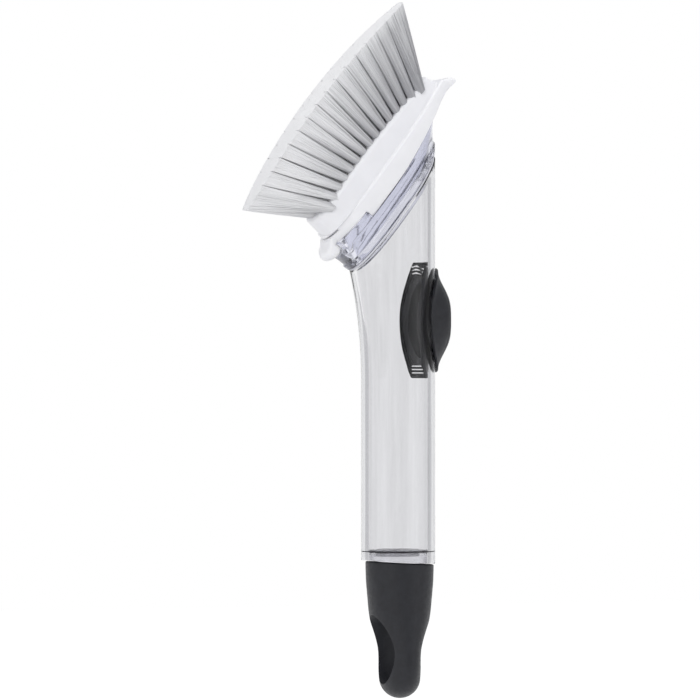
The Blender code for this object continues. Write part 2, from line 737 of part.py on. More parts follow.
def make_head_carrier(head):
    spigot = TUBE_WALL + GAP
    throat = spigot + SPIGOT_WALL
    collar_top = COLLAR_BASE + COLLAR_HEIGHT
    step = collar_ring(COLLAR_STEP, collar_top + COLLAR_STEP)
    shoulder = plan_ring(SHOULDER, shoulder_height)
    cavity_top = SEAT_HEIGHT - SEAT_WALL
    seat_floor = SEAT_HEIGHT - VALVE_SEAT_DEPTH
    rings = [sunk_ring(spigot, SPIGOT_DEPTH), collar_ring(spigot, 0.0),
             collar_ring(spigot, COLLAR_BASE), collar_ring(0.0, COLLAR_BASE),
             collar_ring(0.0, collar_top), step]
    rings += [blend_rings(step, shoulder, share, height) for height, share in SHOULDER_LOFT_SHARES]
    rings += [
        shoulder,
        plan_ring(BOSS, shoulder_height),
        plan_ring(BOSS, SEAT_HEIGHT - SEAT_EDGE),
        plan_ring(BOSS, SEAT_HEIGHT, SEAT_EDGE),
        valve_circle(VALVE_SEAT_RADIUS, SEAT_HEIGHT),
        valve_circle(VALVE_SEAT_RADIUS, seat_floor),
        valve_circle(NOZZLE_RADIUS, seat_floor),
        valve_circle(NOZZLE_RADIUS, SEAT_HEIGHT - NOZZLE_BOSS_DEPTH),
        valve_circle(NOZZLE_BOSS_RADIUS, SEAT_HEIGHT - NOZZLE_BOSS_DEPTH),
        valve_circle(NOZZLE_BOSS_RADIUS, cavity_top),
        plan_ring(BOSS, cavity_top, SEAT_WALL),
        collar_ring(throat, COLLAR_BASE),
        collar_ring(throat, 0.0),
        sunk_ring(throat, SPIGOT_DEPTH),
    ]
    carrier = put_in_scene("head_carrier", skin("head_carrier", rings, wrap=True), head,
                           finish_material("carrier_clear", (0.74, 0.75, 0.82), 0.08, 0.85))
    add_boolean(carrier, make_latch_block(head), 'UNION')
    return carrier


def make_latch_block(head):
    """A raised rib round the boss's lower end, which fills the notch of the refill's skirt."""
    rings = [plan_ring(SHOULDER, LATCH_ROOT_HEIGHT, COLLAR_STEP),
             plan_ring(SHOULDER, LATCH_HEIGHT, COLLAR_STEP),
             plan_ring(BOSS, LATCH_HEIGHT, LATCH_LAP), plan_ring(BOSS, LATCH_ROOT_HEIGHT, LATCH_LAP)]
    rib = put_in_scene("latch_rib", skin("latch_rib", rings, wrap=True), head)
    side = SHOULDER_HALF_WIDTH + CUT_OVERRUN
    window = put_in_scene("latch_window", box_mesh("latch_window",
                          (-LATCH_END, -side, LATCH_ROOT_HEIGHT - CUT_OVERRUN),
                          (-LATCH_START, side, LATCH_HEIGHT + CUT_OVERRUN)), head)
    add_boolean(rib, window, 'INTERSECT')
    return rib


def make_dispensing_valve(head):
    """A rubber duckbill: a round flange whose hollow bill flattens to a closed lip."""
    low = SEAT_HEIGHT - VALVE_SEAT_DEPTH + GAP
    high = low + VALVE_FLANGE
    tip = high + VALVE_BILL_HEIGHT
    duct = VALVE_BILL_RADIUS - VALVE_WALL
    flat = (VALVE_BILL_LIP - VALVE_WALL / 2) / duct
    outer_flat = VALVE_BILL_LIP / VALVE_BILL_RADIUS

    def bill_ring(radius, height, flatness):
        return [(VALVE_PLACE + radius * cos(turn), radius * flatness * sin(turn), height)
                for turn in angles(VALVE_SEGMENTS)]

    rings = [
        [(VALVE_PLACE, 0.0, tip - VALVE_WALL)],
        bill_ring(duct, tip - VALVE_WALL, flat),
        bill_ring(duct, high, 1.0),
        bill_ring(duct, low, 1.0),
        bill_ring(VALVE_SEAT_RADIUS - 2 * GAP, low, 1.0),
        bill_ring(VALVE_SEAT_RADIUS - 2 * GAP, high, 1.0),
        bill_ring(VALVE_BILL_RADIUS, high, 1.0),
        bill_ring(VALVE_BILL_RADIUS, tip, outer_flat),
        [(VALVE_PLACE, 0.0, tip)],
    ]
    return put_in_scene("dispensing_valve", skin("dispensing_valve", rings), head,
                        finish_material("valve_rubber", (0.70, 0.72, 0.74), 0.4, 0.2))


def make_valve_retainer(head):
    low = SEAT_HEIGHT - VALVE_SEAT_DEPTH + VALVE_FLANGE + 2 * GAP
    high = low + RETAINER_THICKNESS
    outer = VALVE_SEAT_RADIUS - GAP
    inner = VALVE_BILL_RADIUS + GAP
    rings = [valve_circle(outer, low, VALVE_SEGMENTS), valve_circle(outer, high, VALVE_SEGMENTS),
             valve_circle(inner, high, VALVE_SEGMENTS), valve_circle(inner, low, VALVE_SEGMENTS)]
    return put_in_scene("valve_retainer", skin("valve_retainer", rings, wrap=True), head,
                        finish_material("retainer_white", (0.86, 0.86, 0.88), 0.35))


# Refill

def make_refill_plate(head):
    edge = plan_ring(FLANGE, skirt_edge)
    recess_edge = plan_ring(BOSS, skirt_edge, -GAP)
    lap = [(mix(a[0], b[0], SCRAPER_LAP_SHARE), mix(a[1], b[1], SCRAPER_LAP_SHARE))
           for a, b in zip(recess_edge, edge)]
    block_top = FLANGE_FRONT + BLOCK_STEP_HEIGHT
    rings = [
        edge,
        plan_ring(FLANGE, flange_side),
        plan_ring(FLANGE, flange_front, FLANGE_FRONT_EDGE),
        plan_ring(BLOCK, FLANGE_FRONT),
        plan_ring(BLOCK, block_top),
        valve_circle(SOAP_HOLE_RADIUS, block_top),
        valve_circle(SOAP_HOLE_RADIUS, RECESS_TOP),
        plan_ring(BOSS, RECESS_TOP, -GAP),
        recess_edge,
        [(x, y, skirt_edge(x)) for x, y in lap],
    ]
    plate = put_in_scene("refill_plate", skin("refill_plate", rings, wrap=True), head,
                         finish_material("refill_white", (0.85, 0.85, 0.87), 0.35))
    side = FLANGE_HALF_WIDTH + CUT_OVERRUN
    far_end = -(TAB_CENTRE + TAB_RADIUS + CUT_OVERRUN)
    notch = put_in_scene("notch_cutter", box_mesh("notch_cutter", (far_end, -side, SHOULDER_HEIGHT / 2),
                         (-NOTCH_START, side, NOTCH_HEIGHT)), head)
    slit_high = RECESS_TOP + SLIT_LAND + SLIT_WIDTH
    slit = put_in_scene("slit_cutter", box_mesh("slit_cutter", (far_end, -side, RECESS_TOP + SLIT_LAND),
                        (-SLIT_START, side, slit_high)), head)
    add_boolean(plate, notch, 'DIFFERENCE')
    add_boolean(plate, make_pull_tab(head), 'UNION')
    add_boolean(plate, slit, 'DIFFERENCE')
    return plate


def make_pull_tab(head):
    """A tongue from the skirt's lower end that rolls down into a bead for the thumb."""
    top = RECESS_TOP + SLIT_LAND - GAP
    low = top - TAB_NECK_THICKNESS
    root = -BOSS_LOW_END - 2 * GAP
    height = low - TAB_NECK_RISE
    start = asin(TAB_NECK_RISE / TAB_RADIUS)
    rings = []
    for share in TAB_WIDTH_SHARES:
        y = share * TAB_HALF_WIDTH
        centre = -TAB_CENTRE + TAB_BOW * share ** 2
        radius = TAB_RADIUS * (TAB_END_SHARE if abs(share) == 1.0 else 1.0)
        ring = [(root, y, low)]
        for k in range(TAB_SEGMENTS + 1):
            turn = mix(start, -3 * pi / 2, k / TAB_SEGMENTS)
            ring.append((centre + radius * cos(turn), y, height + radius * sin(turn)))
        rings.append(ring + [(centre + TAB_RADIUS, y, top), (root, y, top)])
    return put_in_scene("pull_tab", skin("pull_tab", rings), head)


def half_length_at(y, inset=0.0):
    """Half length of the block at a place across it."""
    share = min(1.0, abs(y) / (BLOCK_HALF_WIDTH - inset))
    return (BLOCK_HALF_LENGTH - inset) * (1 - share ** BLOCK_ROUNDNESS) ** (1 / BLOCK_ROUNDNESS)


def strip_outline(row, inset):
    """Outline of one strip of the block, counted from the middle out: row 0 touches the middle."""
    low = row * ROW_PITCH + GAP / 2
    last = row == ROW_COUNT // 2 - 1
    high = BLOCK_HALF_WIDTH - inset if last else (row + 1) * ROW_PITCH - GAP / 2
    across = [mix(low, high, share) for share in END_ARC_SHARES]
    lower_end = [(BLOCK_CENTRE - half_length_at(y, inset), y) for y in across]
    upper_end = [(BLOCK_CENTRE + half_length_at(y, inset), y) for y in across[::-1]]
    outside = [] if last else side_points(lower_end[-1], upper_end[0])
    if last:
        lower_end.pop()
    inside = side_points(upper_end[-1], lower_end[0])
    if row == 0:
        inside = [point for point in inside
                  if abs(point[0] - VALVE_PLACE) > BLOCK_SOAP_HOLE_RADIUS + TUFT_RING_RADIUS]
        turns = [pi * k / 6 for k in range(7)]
        notch = [(VALVE_PLACE + BLOCK_SOAP_HOLE_RADIUS * cos(turn),
                  low + BLOCK_SOAP_HOLE_RADIUS * sin(turn)) for turn in turns]
        before = [point for point in inside if point[0] > VALVE_PLACE]
        after = [point for point in inside if point[0] < VALVE_PLACE]
        inside = before + notch + after
    return lower_end + outside + upper_end + inside


def side_points(start, end):
    """Points between two ends of a straight side, close enough to follow the crowned face."""
    count = int(BLOCK_HALF_LENGTH * 2 / SIDE_POINT_PITCH)
    return [(mix(start[0], end[0], k / count), mix(start[1], end[1], k / count))
            for k in range(1, count)]


def tuft_places(row):
    """Centres of a strip's tufts; every second strip is set half a pitch along."""
    y = (row + 0.5) * ROW_PITCH
    edge = TUFT_RING_RADIUS + STRAND_ROOT_RADIUS + TUFT_LAND
    reach = half_length_at(y + edge, BLOCK_TOP_EDGE) - edge
    shift = TUFT_PITCH / 2 if row % 2 else 0.0
    most = int(2 * BLOCK_HALF_LENGTH / TUFT_PITCH)
    places = [k * TUFT_PITCH + shift for k in range(-most, most)]
    clear = BLOCK_SOAP_HOLE_RADIUS + 2 * TUFT_RING_RADIUS
    return [(VALVE_PLACE + place, y) for place in places
            if abs(place) <= reach and sqrt(place ** 2 + y ** 2) > clear]


def trim_height(x):
    return TRIM_HEIGHT - (x - TRIM_PLACE) ** 2 / (2 * TRIM_RADIUS)


def strand(tuft, number, index):
    """Root and tip corners of one strand; strands fan out along and across, and never cross."""
    turn = 2 * pi * number / STRANDS_PER_TUFT + index * GOLDEN_TURN
    aside = (TUFT_RING_RADIUS * cos(turn), TUFT_RING_RADIUS * sin(turn))
    root_x = tuft[0] + aside[0]
    root_y = tuft[1] + aside[1]
    tip_x = FAN_CENTRE + FAN_LENGTH_SHARE * (tuft[0] - FAN_CENTRE) + TUFT_SPREAD_SHARE * aside[0]
    tip_y = FAN_WIDTH_SHARE * tuft[1] + TUFT_SPREAD_SHARE * aside[1]
    tip_z = trim_height(tip_x)
    root = []
    tip = []
    for corner in range(STRAND_SIDES):
        corner_turn = turn + 2 * pi * corner / STRAND_SIDES
        root.append((root_x + STRAND_ROOT_RADIUS * cos(corner_turn),
                     root_y + STRAND_ROOT_RADIUS * sin(corner_turn)))
        tip.append((tip_x + STRAND_TIP_RADIUS * cos(corner_turn),
                    tip_y + STRAND_TIP_RADIUS * sin(corner_turn), tip_z))
    return root, tip


def inside_any(point, polygons):
    for polygon in polygons:
        signs = []
        for a, b in zip(polygon, polygon[1:] + polygon[:1]):
            signs.append((b[0] - a[0]) * (point[1] - a[1]) - (b[1] - a[1]) * (point[0] - a[0]) > 0)
        if len(set(signs)) == 1:
            return True
    return False


def make_bristle_row(name, row, side, head):
    """One strip of the block with its tufts, each strand grown out of the strip's face."""
    foot = strip_outline(row, 0.0)
    edge = strip_outline(row, BLOCK_DRAFT)
    top = strip_outline(row, BLOCK_TOP_EDGE)
    strands = []
    for index, tuft in enumerate(tuft_places(row)):
        for number in range(STRANDS_PER_TUFT):
            strands.append(strand(tuft, number, index))
    roots = [root for root, _ in strands]
    flat = [Vector(point) for point in top]
    edges = [(k, (k + 1) % len(top)) for k in range(len(top))]
    for root in roots:
        first = len(flat)
        flat += [Vector(point) for point in root]
        edges += [(first + k, first + (k + 1) % STRAND_SIDES) for k in range(STRAND_SIDES)]
    points, _, triangles, _, _, _ = delaunay_2d_cdt(flat, edges, [], 1, MEETING_DISTANCE)

    shape = bmesh.new()

    def vertex(x, y, z):
        return shape.verts.new((x, side * y, z))

    face = [vertex(point[0], point[1], block_face(point[0])) for point in points]
    for corners in triangles:
        middle = sum((points[k] for k in corners), Vector((0.0, 0.0))) / len(corners)
        if not inside_any(middle, roots):
            shape.faces.new([face[k] for k in corners])
    base = [vertex(x, y, BLOCK_BASE) for x, y in foot]
    shoulder = [vertex(x, y, block_face(x) - BLOCK_TOP_EDGE) for x, y in edge]
    join_loops(shape, base, shoulder)
    join_loops(shape, shoulder, face[:len(top)])
    shape.faces.new(base)
    for k, (_, tip) in enumerate(strands):
        first = len(top) + k * STRAND_SIDES
        root_loop = face[first:first + STRAND_SIDES]
        tip_loop = [vertex(*corner) for corner in tip]
        join_loops(shape, root_loop, tip_loop)
        shape.faces.new(tip_loop)
    data = to_mesh(name, shape, smooth=False)
    return put_in_scene(name, data, head,
                        finish_material(name + "_nylon", (0.60, 0.61, 0.64), 0.45))


def make_bristle_rows(head):
    """The strips are numbered across the block, from -Y to +Y."""
    for number in range(ROW_COUNT):
        across = number - ROW_COUNT // 2
        row = across if across >= 0 else -across - 1
        make_bristle_row("bristle_row_" + str(number + 1), row, 1 if across >= 0 else -1, head)


def main():
    clear_scene()
    make_end_grip()
    make_cap_core()
    make_cap_seal()
    make_handle_tube()
    make_button_rim()
    make_button_pad()
    make_button_diaphragm()
    head = place_empty("head_frame", (0.0, 0.0, MOUTH), HEAD_TILT - pi / 2)
    make_mouth_gasket(head)
    make_head_carrier(head)
    make_dispensing_valve(head)
    make_valve_retainer(head)
    make_refill_plate(head)
    make_bristle_rows(head)


main()
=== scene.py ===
"""The looks of a soap-dispensing dish brush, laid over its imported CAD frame.

Every rigid piece is drawn again from the sizes of the CAD, with many more points and softened edges,
and the tufts get their single filaments.
"""

import random
from math import asin, cos, pi, radians, sin, sqrt, tan

import bmesh
import bpy
from mathutils import Matrix, Vector


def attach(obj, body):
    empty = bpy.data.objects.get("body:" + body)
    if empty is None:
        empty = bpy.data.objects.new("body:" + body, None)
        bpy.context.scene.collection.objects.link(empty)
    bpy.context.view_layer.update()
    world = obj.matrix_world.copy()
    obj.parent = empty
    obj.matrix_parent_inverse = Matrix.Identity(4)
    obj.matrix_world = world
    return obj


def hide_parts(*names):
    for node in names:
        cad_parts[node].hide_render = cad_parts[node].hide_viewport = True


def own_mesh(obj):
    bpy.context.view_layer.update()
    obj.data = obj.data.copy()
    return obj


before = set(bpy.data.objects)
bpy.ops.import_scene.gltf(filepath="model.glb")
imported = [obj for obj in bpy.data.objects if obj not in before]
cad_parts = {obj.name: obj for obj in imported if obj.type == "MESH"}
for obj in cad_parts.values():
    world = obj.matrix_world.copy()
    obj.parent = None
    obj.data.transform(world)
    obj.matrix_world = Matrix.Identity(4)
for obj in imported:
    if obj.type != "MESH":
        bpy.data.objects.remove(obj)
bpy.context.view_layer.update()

# Sizes of the CAD, in metres and radians, and shares of them
GAP = 0.0003
CUT_OVERRUN = 0.004
GRIP_RADIUS = 0.0131
GRIP_OFFSET = 0.0006
GRIP_HEIGHT = 0.0335
GRIP_WAIST = 0.0072
GRIP_END_WALL = 0.0058
GRIP_SIDE_WALL = 0.0041
GRIP_SHOULDER_SLOPE = tan(radians(3.0))
# Shares of the height over the hole's centre, and how far the grip has swollen to its full radius there
GRIP_SWELL_SHARES = ((1.0, 1.0), (0.8, 0.965), (0.69, 0.91), (0.57, 0.84), (0.457, 0.775),
                     (0.343, 0.66), (0.227, 0.46), (0.113, 0.25), (0.0, 0.07), (-0.15, 0.0))
HANG_HOLE_BREADTH = 0.0180
HANG_HOLE_HEIGHT = 0.0252
HANG_HOLE_FLARE = 0.0022
STEM_RADIUS = 0.0080
STEM_FLOOR_WALL = 0.0039
PLUG_CLEARANCE = 0.0005
PLUG_WALL = 0.0024
PLUG_FLOOR = 0.0022
SEAL_THICKNESS = 0.0015
SEAL_HEIGHT = 0.0040
TUBE_RADIUS = 0.0142
TUBE_WALL = 0.0026
TUBE_LENGTH = 0.1363
FLARE_START = 0.0698
FLARE_HEIGHT = 0.0420
FLARE_REACH = 0.0050
BUTTON_CENTRE_HEIGHT = 0.0925
BUTTON_BORDER = 0.0044
BUTTON_HALF_WRAP = radians(51)
BUTTON_CROWN = 0.0059
BUTTON_LIP = 0.0009
BUTTON_SLOPE_SHARE = 0.68
PAD_HALF_WIDTH = 0.0072
PAD_HALF_HEIGHT = 0.0156
PAD_WALL = 0.0021
RIM_NECK = 0.0009
INNER_LIP = 0.0012
INNER_LIP_HALF_WRAP = radians(66)
INNER_LIP_LAP = 0.0022
INNER_LIP_BARREL_SHARE = 1.22
LIP_RIB_DEPTH = 0.0005
RIBBED_LIP_SHARES = ((0.0, 0.0), (0.22, 0.0), (0.35, 1.0), (0.48, 0.0), (0.61, 1.0), (0.74, 0.0),
                     (0.87, 1.0), (1.0, 0.0))
DIAPHRAGM_WALL = 0.0008
DIAPHRAGM_HALF_WRAP = radians(60)
DIAPHRAGM_END_INSET = 0.0050
DIAPHRAGM_RISE = 0.0011
HEAD_TILT = radians(36.6)
HEAD_ROUNDNESS = 2.4
GASKET_THICKNESS = 0.0008
GASKET_EDGE = 0.0004
GASKET_LAP = 0.0022
SPIGOT_DEPTH = 0.0018
SPIGOT_WALL = 0.0016
COLLAR_HEIGHT = 0.0020
COLLAR_STEP = 0.0005
SHOULDER_HEIGHT = 0.0097
SHOULDER_RISE = 0.0036
SHOULDER_RISE_START = 0.0050
SHOULDER_RISE_LENGTH = 0.0350
SHOULDER_DIP = 0.0021
SHOULDER_DIP_LENGTH = 0.0040
BOSS_HEIGHT = 0.0051
SEAT_WALL = 0.0022
SEAT_EDGE = 0.0004
LATCH_DROP = 0.0021
LATCH_ROOT_DEPTH = 0.0006
LATCH_END_INSET = 0.0013
LATCH_LAP = 0.0010
VALVE_PLACE = 0.0095
VALVE_SEAT_RADIUS = 0.0060
VALVE_SEAT_DEPTH = 0.0026
VALVE_FLANGE = 0.0012
VALVE_BILL_RADIUS = 0.0025
VALVE_BILL_HEIGHT = 0.0038
VALVE_BILL_LIP = 0.0007
VALVE_WALL = 0.0007
RETAINER_THICKNESS = 0.0008
NOZZLE_RADIUS = 0.0035
NOZZLE_BOSS_RADIUS = 0.0082
NOZZLE_BOSS_DEPTH = 0.0058
FLANGE_LOW_END = 0.0285
FLANGE_TIP = 0.0527
FLANGE_HALF_WIDTH = 0.0165
FLANGE_FRONT_EDGE = 0.0008
# How far each outline stands inside the one round it: at its low end, its tip and its sides
SHOULDER_INSETS = (-0.0025, 0.0117, 0.0003)
BOSS_INSETS = (0.0050, 0.0040, 0.0022)
BLOCK_INSETS = (0.0015, 0.0065, 0.0027)
WEB_THICKNESS = 0.0024
NOTCH_LENGTH = 0.0159
SCRAPER_LENGTH = 0.0061
SCRAPER_BACK_LENGTH = 0.0072
SCRAPER_FALL_SHARE = 0.85
SCRAPER_BACK_FALL_SHARE = 0.42
SCRAPER_LAP_SHARE = 0.55
SOAP_HOLE_RADIUS = 0.0032
TAB_REACH = 0.0040
TAB_BOW = 0.0023
TAB_RADIUS = 0.0024
TAB_HALF_WIDTH = 0.0062
TAB_NECK_THICKNESS = 0.0022
TAB_NECK_RISE = 0.0017
TAB_END_SHARE = 0.7
TAB_END_LENGTH = 0.1
SLIT_LENGTH = 0.0045
SLIT_WIDTH = 0.0007
SLIT_LAND = 0.0011
BLOCK_ROUNDNESS = 3.5
BLOCK_SIDE_BORDER = 0.0012
BLOCK_STEP_HEIGHT = 0.0022
BLOCK_CROWN = 0.0062
BLOCK_CROWN_PLACE = -0.0060
BLOCK_CROWN_RADIUS = 0.4200
BLOCK_DRAFT = 0.0006
BLOCK_SOAP_HOLE_RADIUS = 0.0026
TUFT_PITCH = 0.0041
TUFT_LENGTH = 0.0250
ROW_COUNT = 6
FAN_CENTRE = 0.0045
FAN_LENGTH_SHARE = 1.51
TRIM_PLACE = 0.0022
TRIM_RADIUS = 0.3330

# Sizes that only the scene has, or that differ from the CAD's: a lower plug, narrower tips
CAP_TRAVEL = 0.030
GRIP_RIM_EDGE = 0.0006
PLUG_HEIGHT = 0.0048
SEAL_SQUEEZE = 0.00006
SEAL_LINE_THICKNESS = 0.0007
LIP_TAPER = 0.18
LIP_SLOTS = 3
LIP_SLOT_START = 0.0176
LIP_SLOT_PITCH = 0.0013
LIP_SLOT_WIDTH = 0.00040
LIP_SLOT_DEPTH = 0.0035
LIP_SLOT_REACH = 0.0072
LIP_SLOT_WAVE = 0.0006
TOP_SLOT_WIDTH_SHARE = 1.5
LOFT_HOLLOW = 0.62
BLOCK_FOOT = 0.0007
BLOCK_SINK = 0.0001
BLOCK_ROUND_EDGE = 0.0022
FAN_WIDTH_SHARE = 0.72
TRIM_BOW = 0.0006
TRIM_TILT = 0.0001
TRIM_END_SHARE = 0.24
TRIM_END_INSET = 0.0029
TUFT_INSET = 0.0010
TUFT_ROOT_RADIUS = 0.0015
TUFT_ROOT_DEPTH = 0.0006
TUFT_REACH_SHARE = 0.92
GAP_REACH_SHARE = 1.08
FILAMENT_RADIUS = 0.000125
FILAMENT_BOW = 0.00016
TIP_JITTER = 0.00003
TIP_SWELL = 1.9
FLOOR_REACH = 1.6
FLOOR_THICKNESS = 0.020
FLOOR_GAP = 0.0015
# Widths of the pieces' softened edges
SOFT_EDGES = {"grip_body": 0.0007, "plug_core": 0.00015, "tube_shell": 0.00025, "rim_skin": 0.0002,
              "pad_skin": 0.00012, "gasket_ring": 0.0002, "carrier_shell": 0.0002, "rib": 0.0003,
              "retainer_disc": 0.00015, "plate_shell": 0.0003}

# Places and outlines that follow from the sizes
GRIP_END_DEPTH = HANG_HOLE_HEIGHT / 2 + GRIP_END_WALL
GRIP_BREADTH = HANG_HOLE_BREADTH / 2 + GRIP_SIDE_WALL
STEM_DEPTH = HANG_HOLE_HEIGHT / 2 + STEM_FLOOR_WALL
FOOT = GRIP_HEIGHT + GAP
MOUTH = FOOT + TUBE_LENGTH
BORE = TUBE_RADIUS - TUBE_WALL
BUTTON_CENTRE = FOOT + BUTTON_CENTRE_HEIGHT
BUTTON_HALF_HEIGHT = PAD_HALF_HEIGHT + BUTTON_BORDER
INNER_LIP_HALF_HEIGHT = BUTTON_HALF_HEIGHT + INNER_LIP_LAP
DIAPHRAGM_HALF_HEIGHT = INNER_LIP_HALF_HEIGHT - DIAPHRAGM_END_INSET
DIAPHRAGM_RADIUS = BORE - GAP - INNER_LIP - GAP
PAD_BACK = DIAPHRAGM_RADIUS + DIAPHRAGM_RISE + GAP
COLLAR_BASE = 2 * GAP + GASKET_THICKNESS
SEAT_HEIGHT = SHOULDER_HEIGHT + BOSS_HEIGHT
VALVE_LOW = SEAT_HEIGHT - VALVE_SEAT_DEPTH + GAP
VALVE_HIGH = VALVE_LOW + VALVE_FLANGE
RECESS_TOP = SEAT_HEIGHT + GAP
FLANGE_FRONT = RECESS_TOP + WEB_THICKNESS
BLOCK_BASE = FLANGE_FRONT + BLOCK_STEP_HEIGHT + GAP
BLOCK_CROWN_HEIGHT = BLOCK_BASE + BLOCK_CROWN
TRIM_HEIGHT = BLOCK_CROWN_HEIGHT + TUFT_LENGTH


def inset_outline(outline, insets, power=HEAD_ROUNDNESS):
    return (*(size - inset for size, inset in zip(outline, insets)), power)


# Outlines of the head's parts: low end, tip, half width and the power of their rounding
FLANGE = (FLANGE_LOW_END, FLANGE_TIP, FLANGE_HALF_WIDTH, HEAD_ROUNDNESS)
SHOULDER = inset_outline(FLANGE, SHOULDER_INSETS)
BOSS = inset_outline(SHOULDER, BOSS_INSETS)
BLOCK = inset_outline(FLANGE, BLOCK_INSETS, BLOCK_ROUNDNESS)
BLOCK_HALF_WIDTH = BLOCK[2]
ROW_PITCH = (BLOCK_HALF_WIDTH - BLOCK_SIDE_BORDER) / (ROW_COUNT // 2)
BLOCK_CENTRE = (BLOCK[1] - BLOCK[0]) / 2
BLOCK_HALF_LENGTH = (BLOCK[1] + BLOCK[0]) / 2
TRIM_HALF_LENGTH = BLOCK_HALF_LENGTH - TRIM_END_INSET
LATCH_HEIGHT = SEAT_HEIGHT - LATCH_DROP
LATCH_ROOT_HEIGHT = SHOULDER_HEIGHT - SHOULDER_DIP - LATCH_ROOT_DEPTH
LATCH_END = FLANGE_LOW_END - LATCH_END_INSET
NOTCH_START = FLANGE_LOW_END - NOTCH_LENGTH
NOTCH_HEIGHT = LATCH_HEIGHT + GAP
LATCH_START = NOTCH_START + GAP
SLIT_START = FLANGE_LOW_END - SLIT_LENGTH
TAB_CENTRE = FLANGE_LOW_END + TAB_REACH
SCRAPER_BEND = FLANGE_TIP - SCRAPER_LENGTH
SCRAPER_BACK_BEND = FLANGE_TIP - SCRAPER_BACK_LENGTH
HEAD_PLACE = Matrix.Translation((0.0, 0.0, MOUTH)) @ Matrix.Rotation(HEAD_TILT - pi / 2, 4, 'Y')
# Half width and half height of ovals in the button: the pad, the hole round it, and the rim's neck
PAD_OVAL = (PAD_HALF_WIDTH, PAD_HALF_HEIGHT)
PAD_HOLE = (PAD_HALF_WIDTH + GAP, PAD_HALF_HEIGHT + GAP)
NECK_OVAL = (PAD_HOLE[0] + RIM_NECK, PAD_HOLE[1] + RIM_NECK)
ROW_NODES = ["bristle_row_" + str(number + 1) for number in range(ROW_COUNT)]

# How finely the pieces are drawn
ROUND = 192
BUTTON_ROUND = 160
VALVE_ROUND = 96
HOLE_ROUND = 64
GRIP_RINGS = 46
GRIP_END_RINGS = 24
GRIP_RIM_RINGS = 6
HANG_HOLE_RINGS = 28
SEAL_SIDES = 24
STRAIGHT_SHARES = (0.0, 0.02, 0.5, 1.0)
FLARE_RINGS = 36
RIM_FACE_STEPS = 20
LIP_STEPS = 14
SLOT_STEPS = 40
PAD_RINGS = 22
PAD_INSIDE_SHARES = (0.97, 0.8, 0.55, 0.28)
LOFT_RINGS = 12
WALL_SHARES = (0.0, 0.01, 0.04, 0.12, 0.3, 0.5, 0.7, 0.88, 0.96, 0.99, 1.0)
PLATE_EDGE_RINGS = 5
TAB_RINGS = 32
TAB_SIDES = 40
BLOCK_FOOT_RINGS = 5
BLOCK_EDGE_RINGS = 14
BLOCK_FACE_SHARES = (0.93, 0.85, 0.75, 0.65, 0.55, 0.45, 0.35, 0.25, 0.15, 0.07)
SHARP_ANGLE = radians(40)
GRIP_EDGE_ANGLE = radians(30)
BUTTON_EDGE_ANGLE = radians(50)
WELD_DISTANCE = 0.000002
SOLVE_STEPS = 30
FILAMENTS_PER_TUFT = 300
GAP_TUFT_TIMES = 3
FILAMENT_SIDES = 4
EVEN_STEPS = (0.7548776662, 0.5698402910)
EVEN_JITTER = 0.01

# Painted light and shade of the filaments, from 0 for the ramp's dark end to 1 for its pale end: lighter
# at the head's low end and darker at its top end, painted shade at the roots, painted light near and on
# the cut tips, and painted shade on each tuft's flanks; only the two tone spreads are random tone
# Painted light on the filaments at the head's low end and painted shade at its top end, standing in for
# how the lamps fall on them
LOW_END_PAINTED_LIGHT = 1.15
HIGH_END_PAINTED_SHADE = 0.06
# Painted shade at the filaments' roots, deep between the tufts
ROOT_PAINTED_SHADE_DROP = 0.42
# Painted light on the filaments near their tips and on the cut tips; the places are the shares of a
# filament's length where each painted level sits
FRINGE_PAINTED_LIGHT_RISE = 0.24
TIP_PAINTED_LIGHT = 0.95
PAINTED_SHADE_PLACES = (0.0, 0.45, 0.84, 1.0)
TUFT_TONE_SPREAD = 0.05
FILAMENT_TONE_SPREAD = 0.10
# Painted shade on each tuft's flanks and painted light on its core, so that the tuft looks rounded
TUFT_PAINTED_ROUNDING_SHADE = 0.40
TUFT_PAINTED_ROUNDING_LEVEL = 0.4
# How fast the random tone and the painted rounding shade fade out towards the tip
TONE_AND_SHADE_FADE_POWER = 4

# Materials, stage, light and view
WHITE = (1.0, 1.0, 1.0, 1.0)
NOISE_ROUGHNESS = 0.55
NOISE_RANGE = (0.3, 0.7)
TINT_PLACES = (0.32, 0.68)
STREAK_SCALE = 420
STREAK_SHARE = 0.92
SMOKE_COLOUR = (0.50, 0.50, 0.53, 1.0)
FLOOR_SHADE = 0.80
FLOOR_GLOW = 0.86
FLOOR_DIMMING = 0.72
WORLD_COLOUR = (0.975, 0.98, 1.0, 1.0)
WORLD_LIGHT = 0.76
# Degrees to the right of straight ahead, and how bright the studio looks there in clear or glossy parts
STUDIO_SHADES = ((-180, 0.40), (-150, 0.38), (-128, 0.50), (-110, 1.0), (-94, 0.70), (-68, 0.58),
                 (-50, 0.64), (-32, 0.66), (-24, 1.0), (24, 1.0), (32, 0.70), (52, 0.56), (70, 0.46),
                 (114, 0.46), (126, 0.90), (138, 1.0), (147, 0.50), (163, 0.38), (180, 0.40))
STUDIO_TINT = (0.995, 0.998, 1.02)
# Name, place, size and power of each lamp
LAMPS = (("key", (-0.95, -0.70, 0.50), (0.7, 0.7), 3.2),
         ("fill", (0.85, -0.80, 0.35), (0.5, 0.9), 1.1),
         ("top", (0.05, 0.15, 1.15), (0.8, 0.8), 3.4))
LAMP_AIM = (-0.01, 0.0, 0.12)
VIEW_TURN = radians(20)
VIEW_AIM = (-0.0173, 0.0063, 0.1149)
VIEW_WIDTH = 0.2681
CAMERA_DISTANCE = 2.5
CAMERA_REACH = 50.0
SENSOR_WIDTH = 36.0

random.seed(7)


# Mesh helpers

def mix(start, end, share):
    return start + (end - start) * share


def clamp(value, low=0.0, high=1.0):
    return min(high, max(low, value))


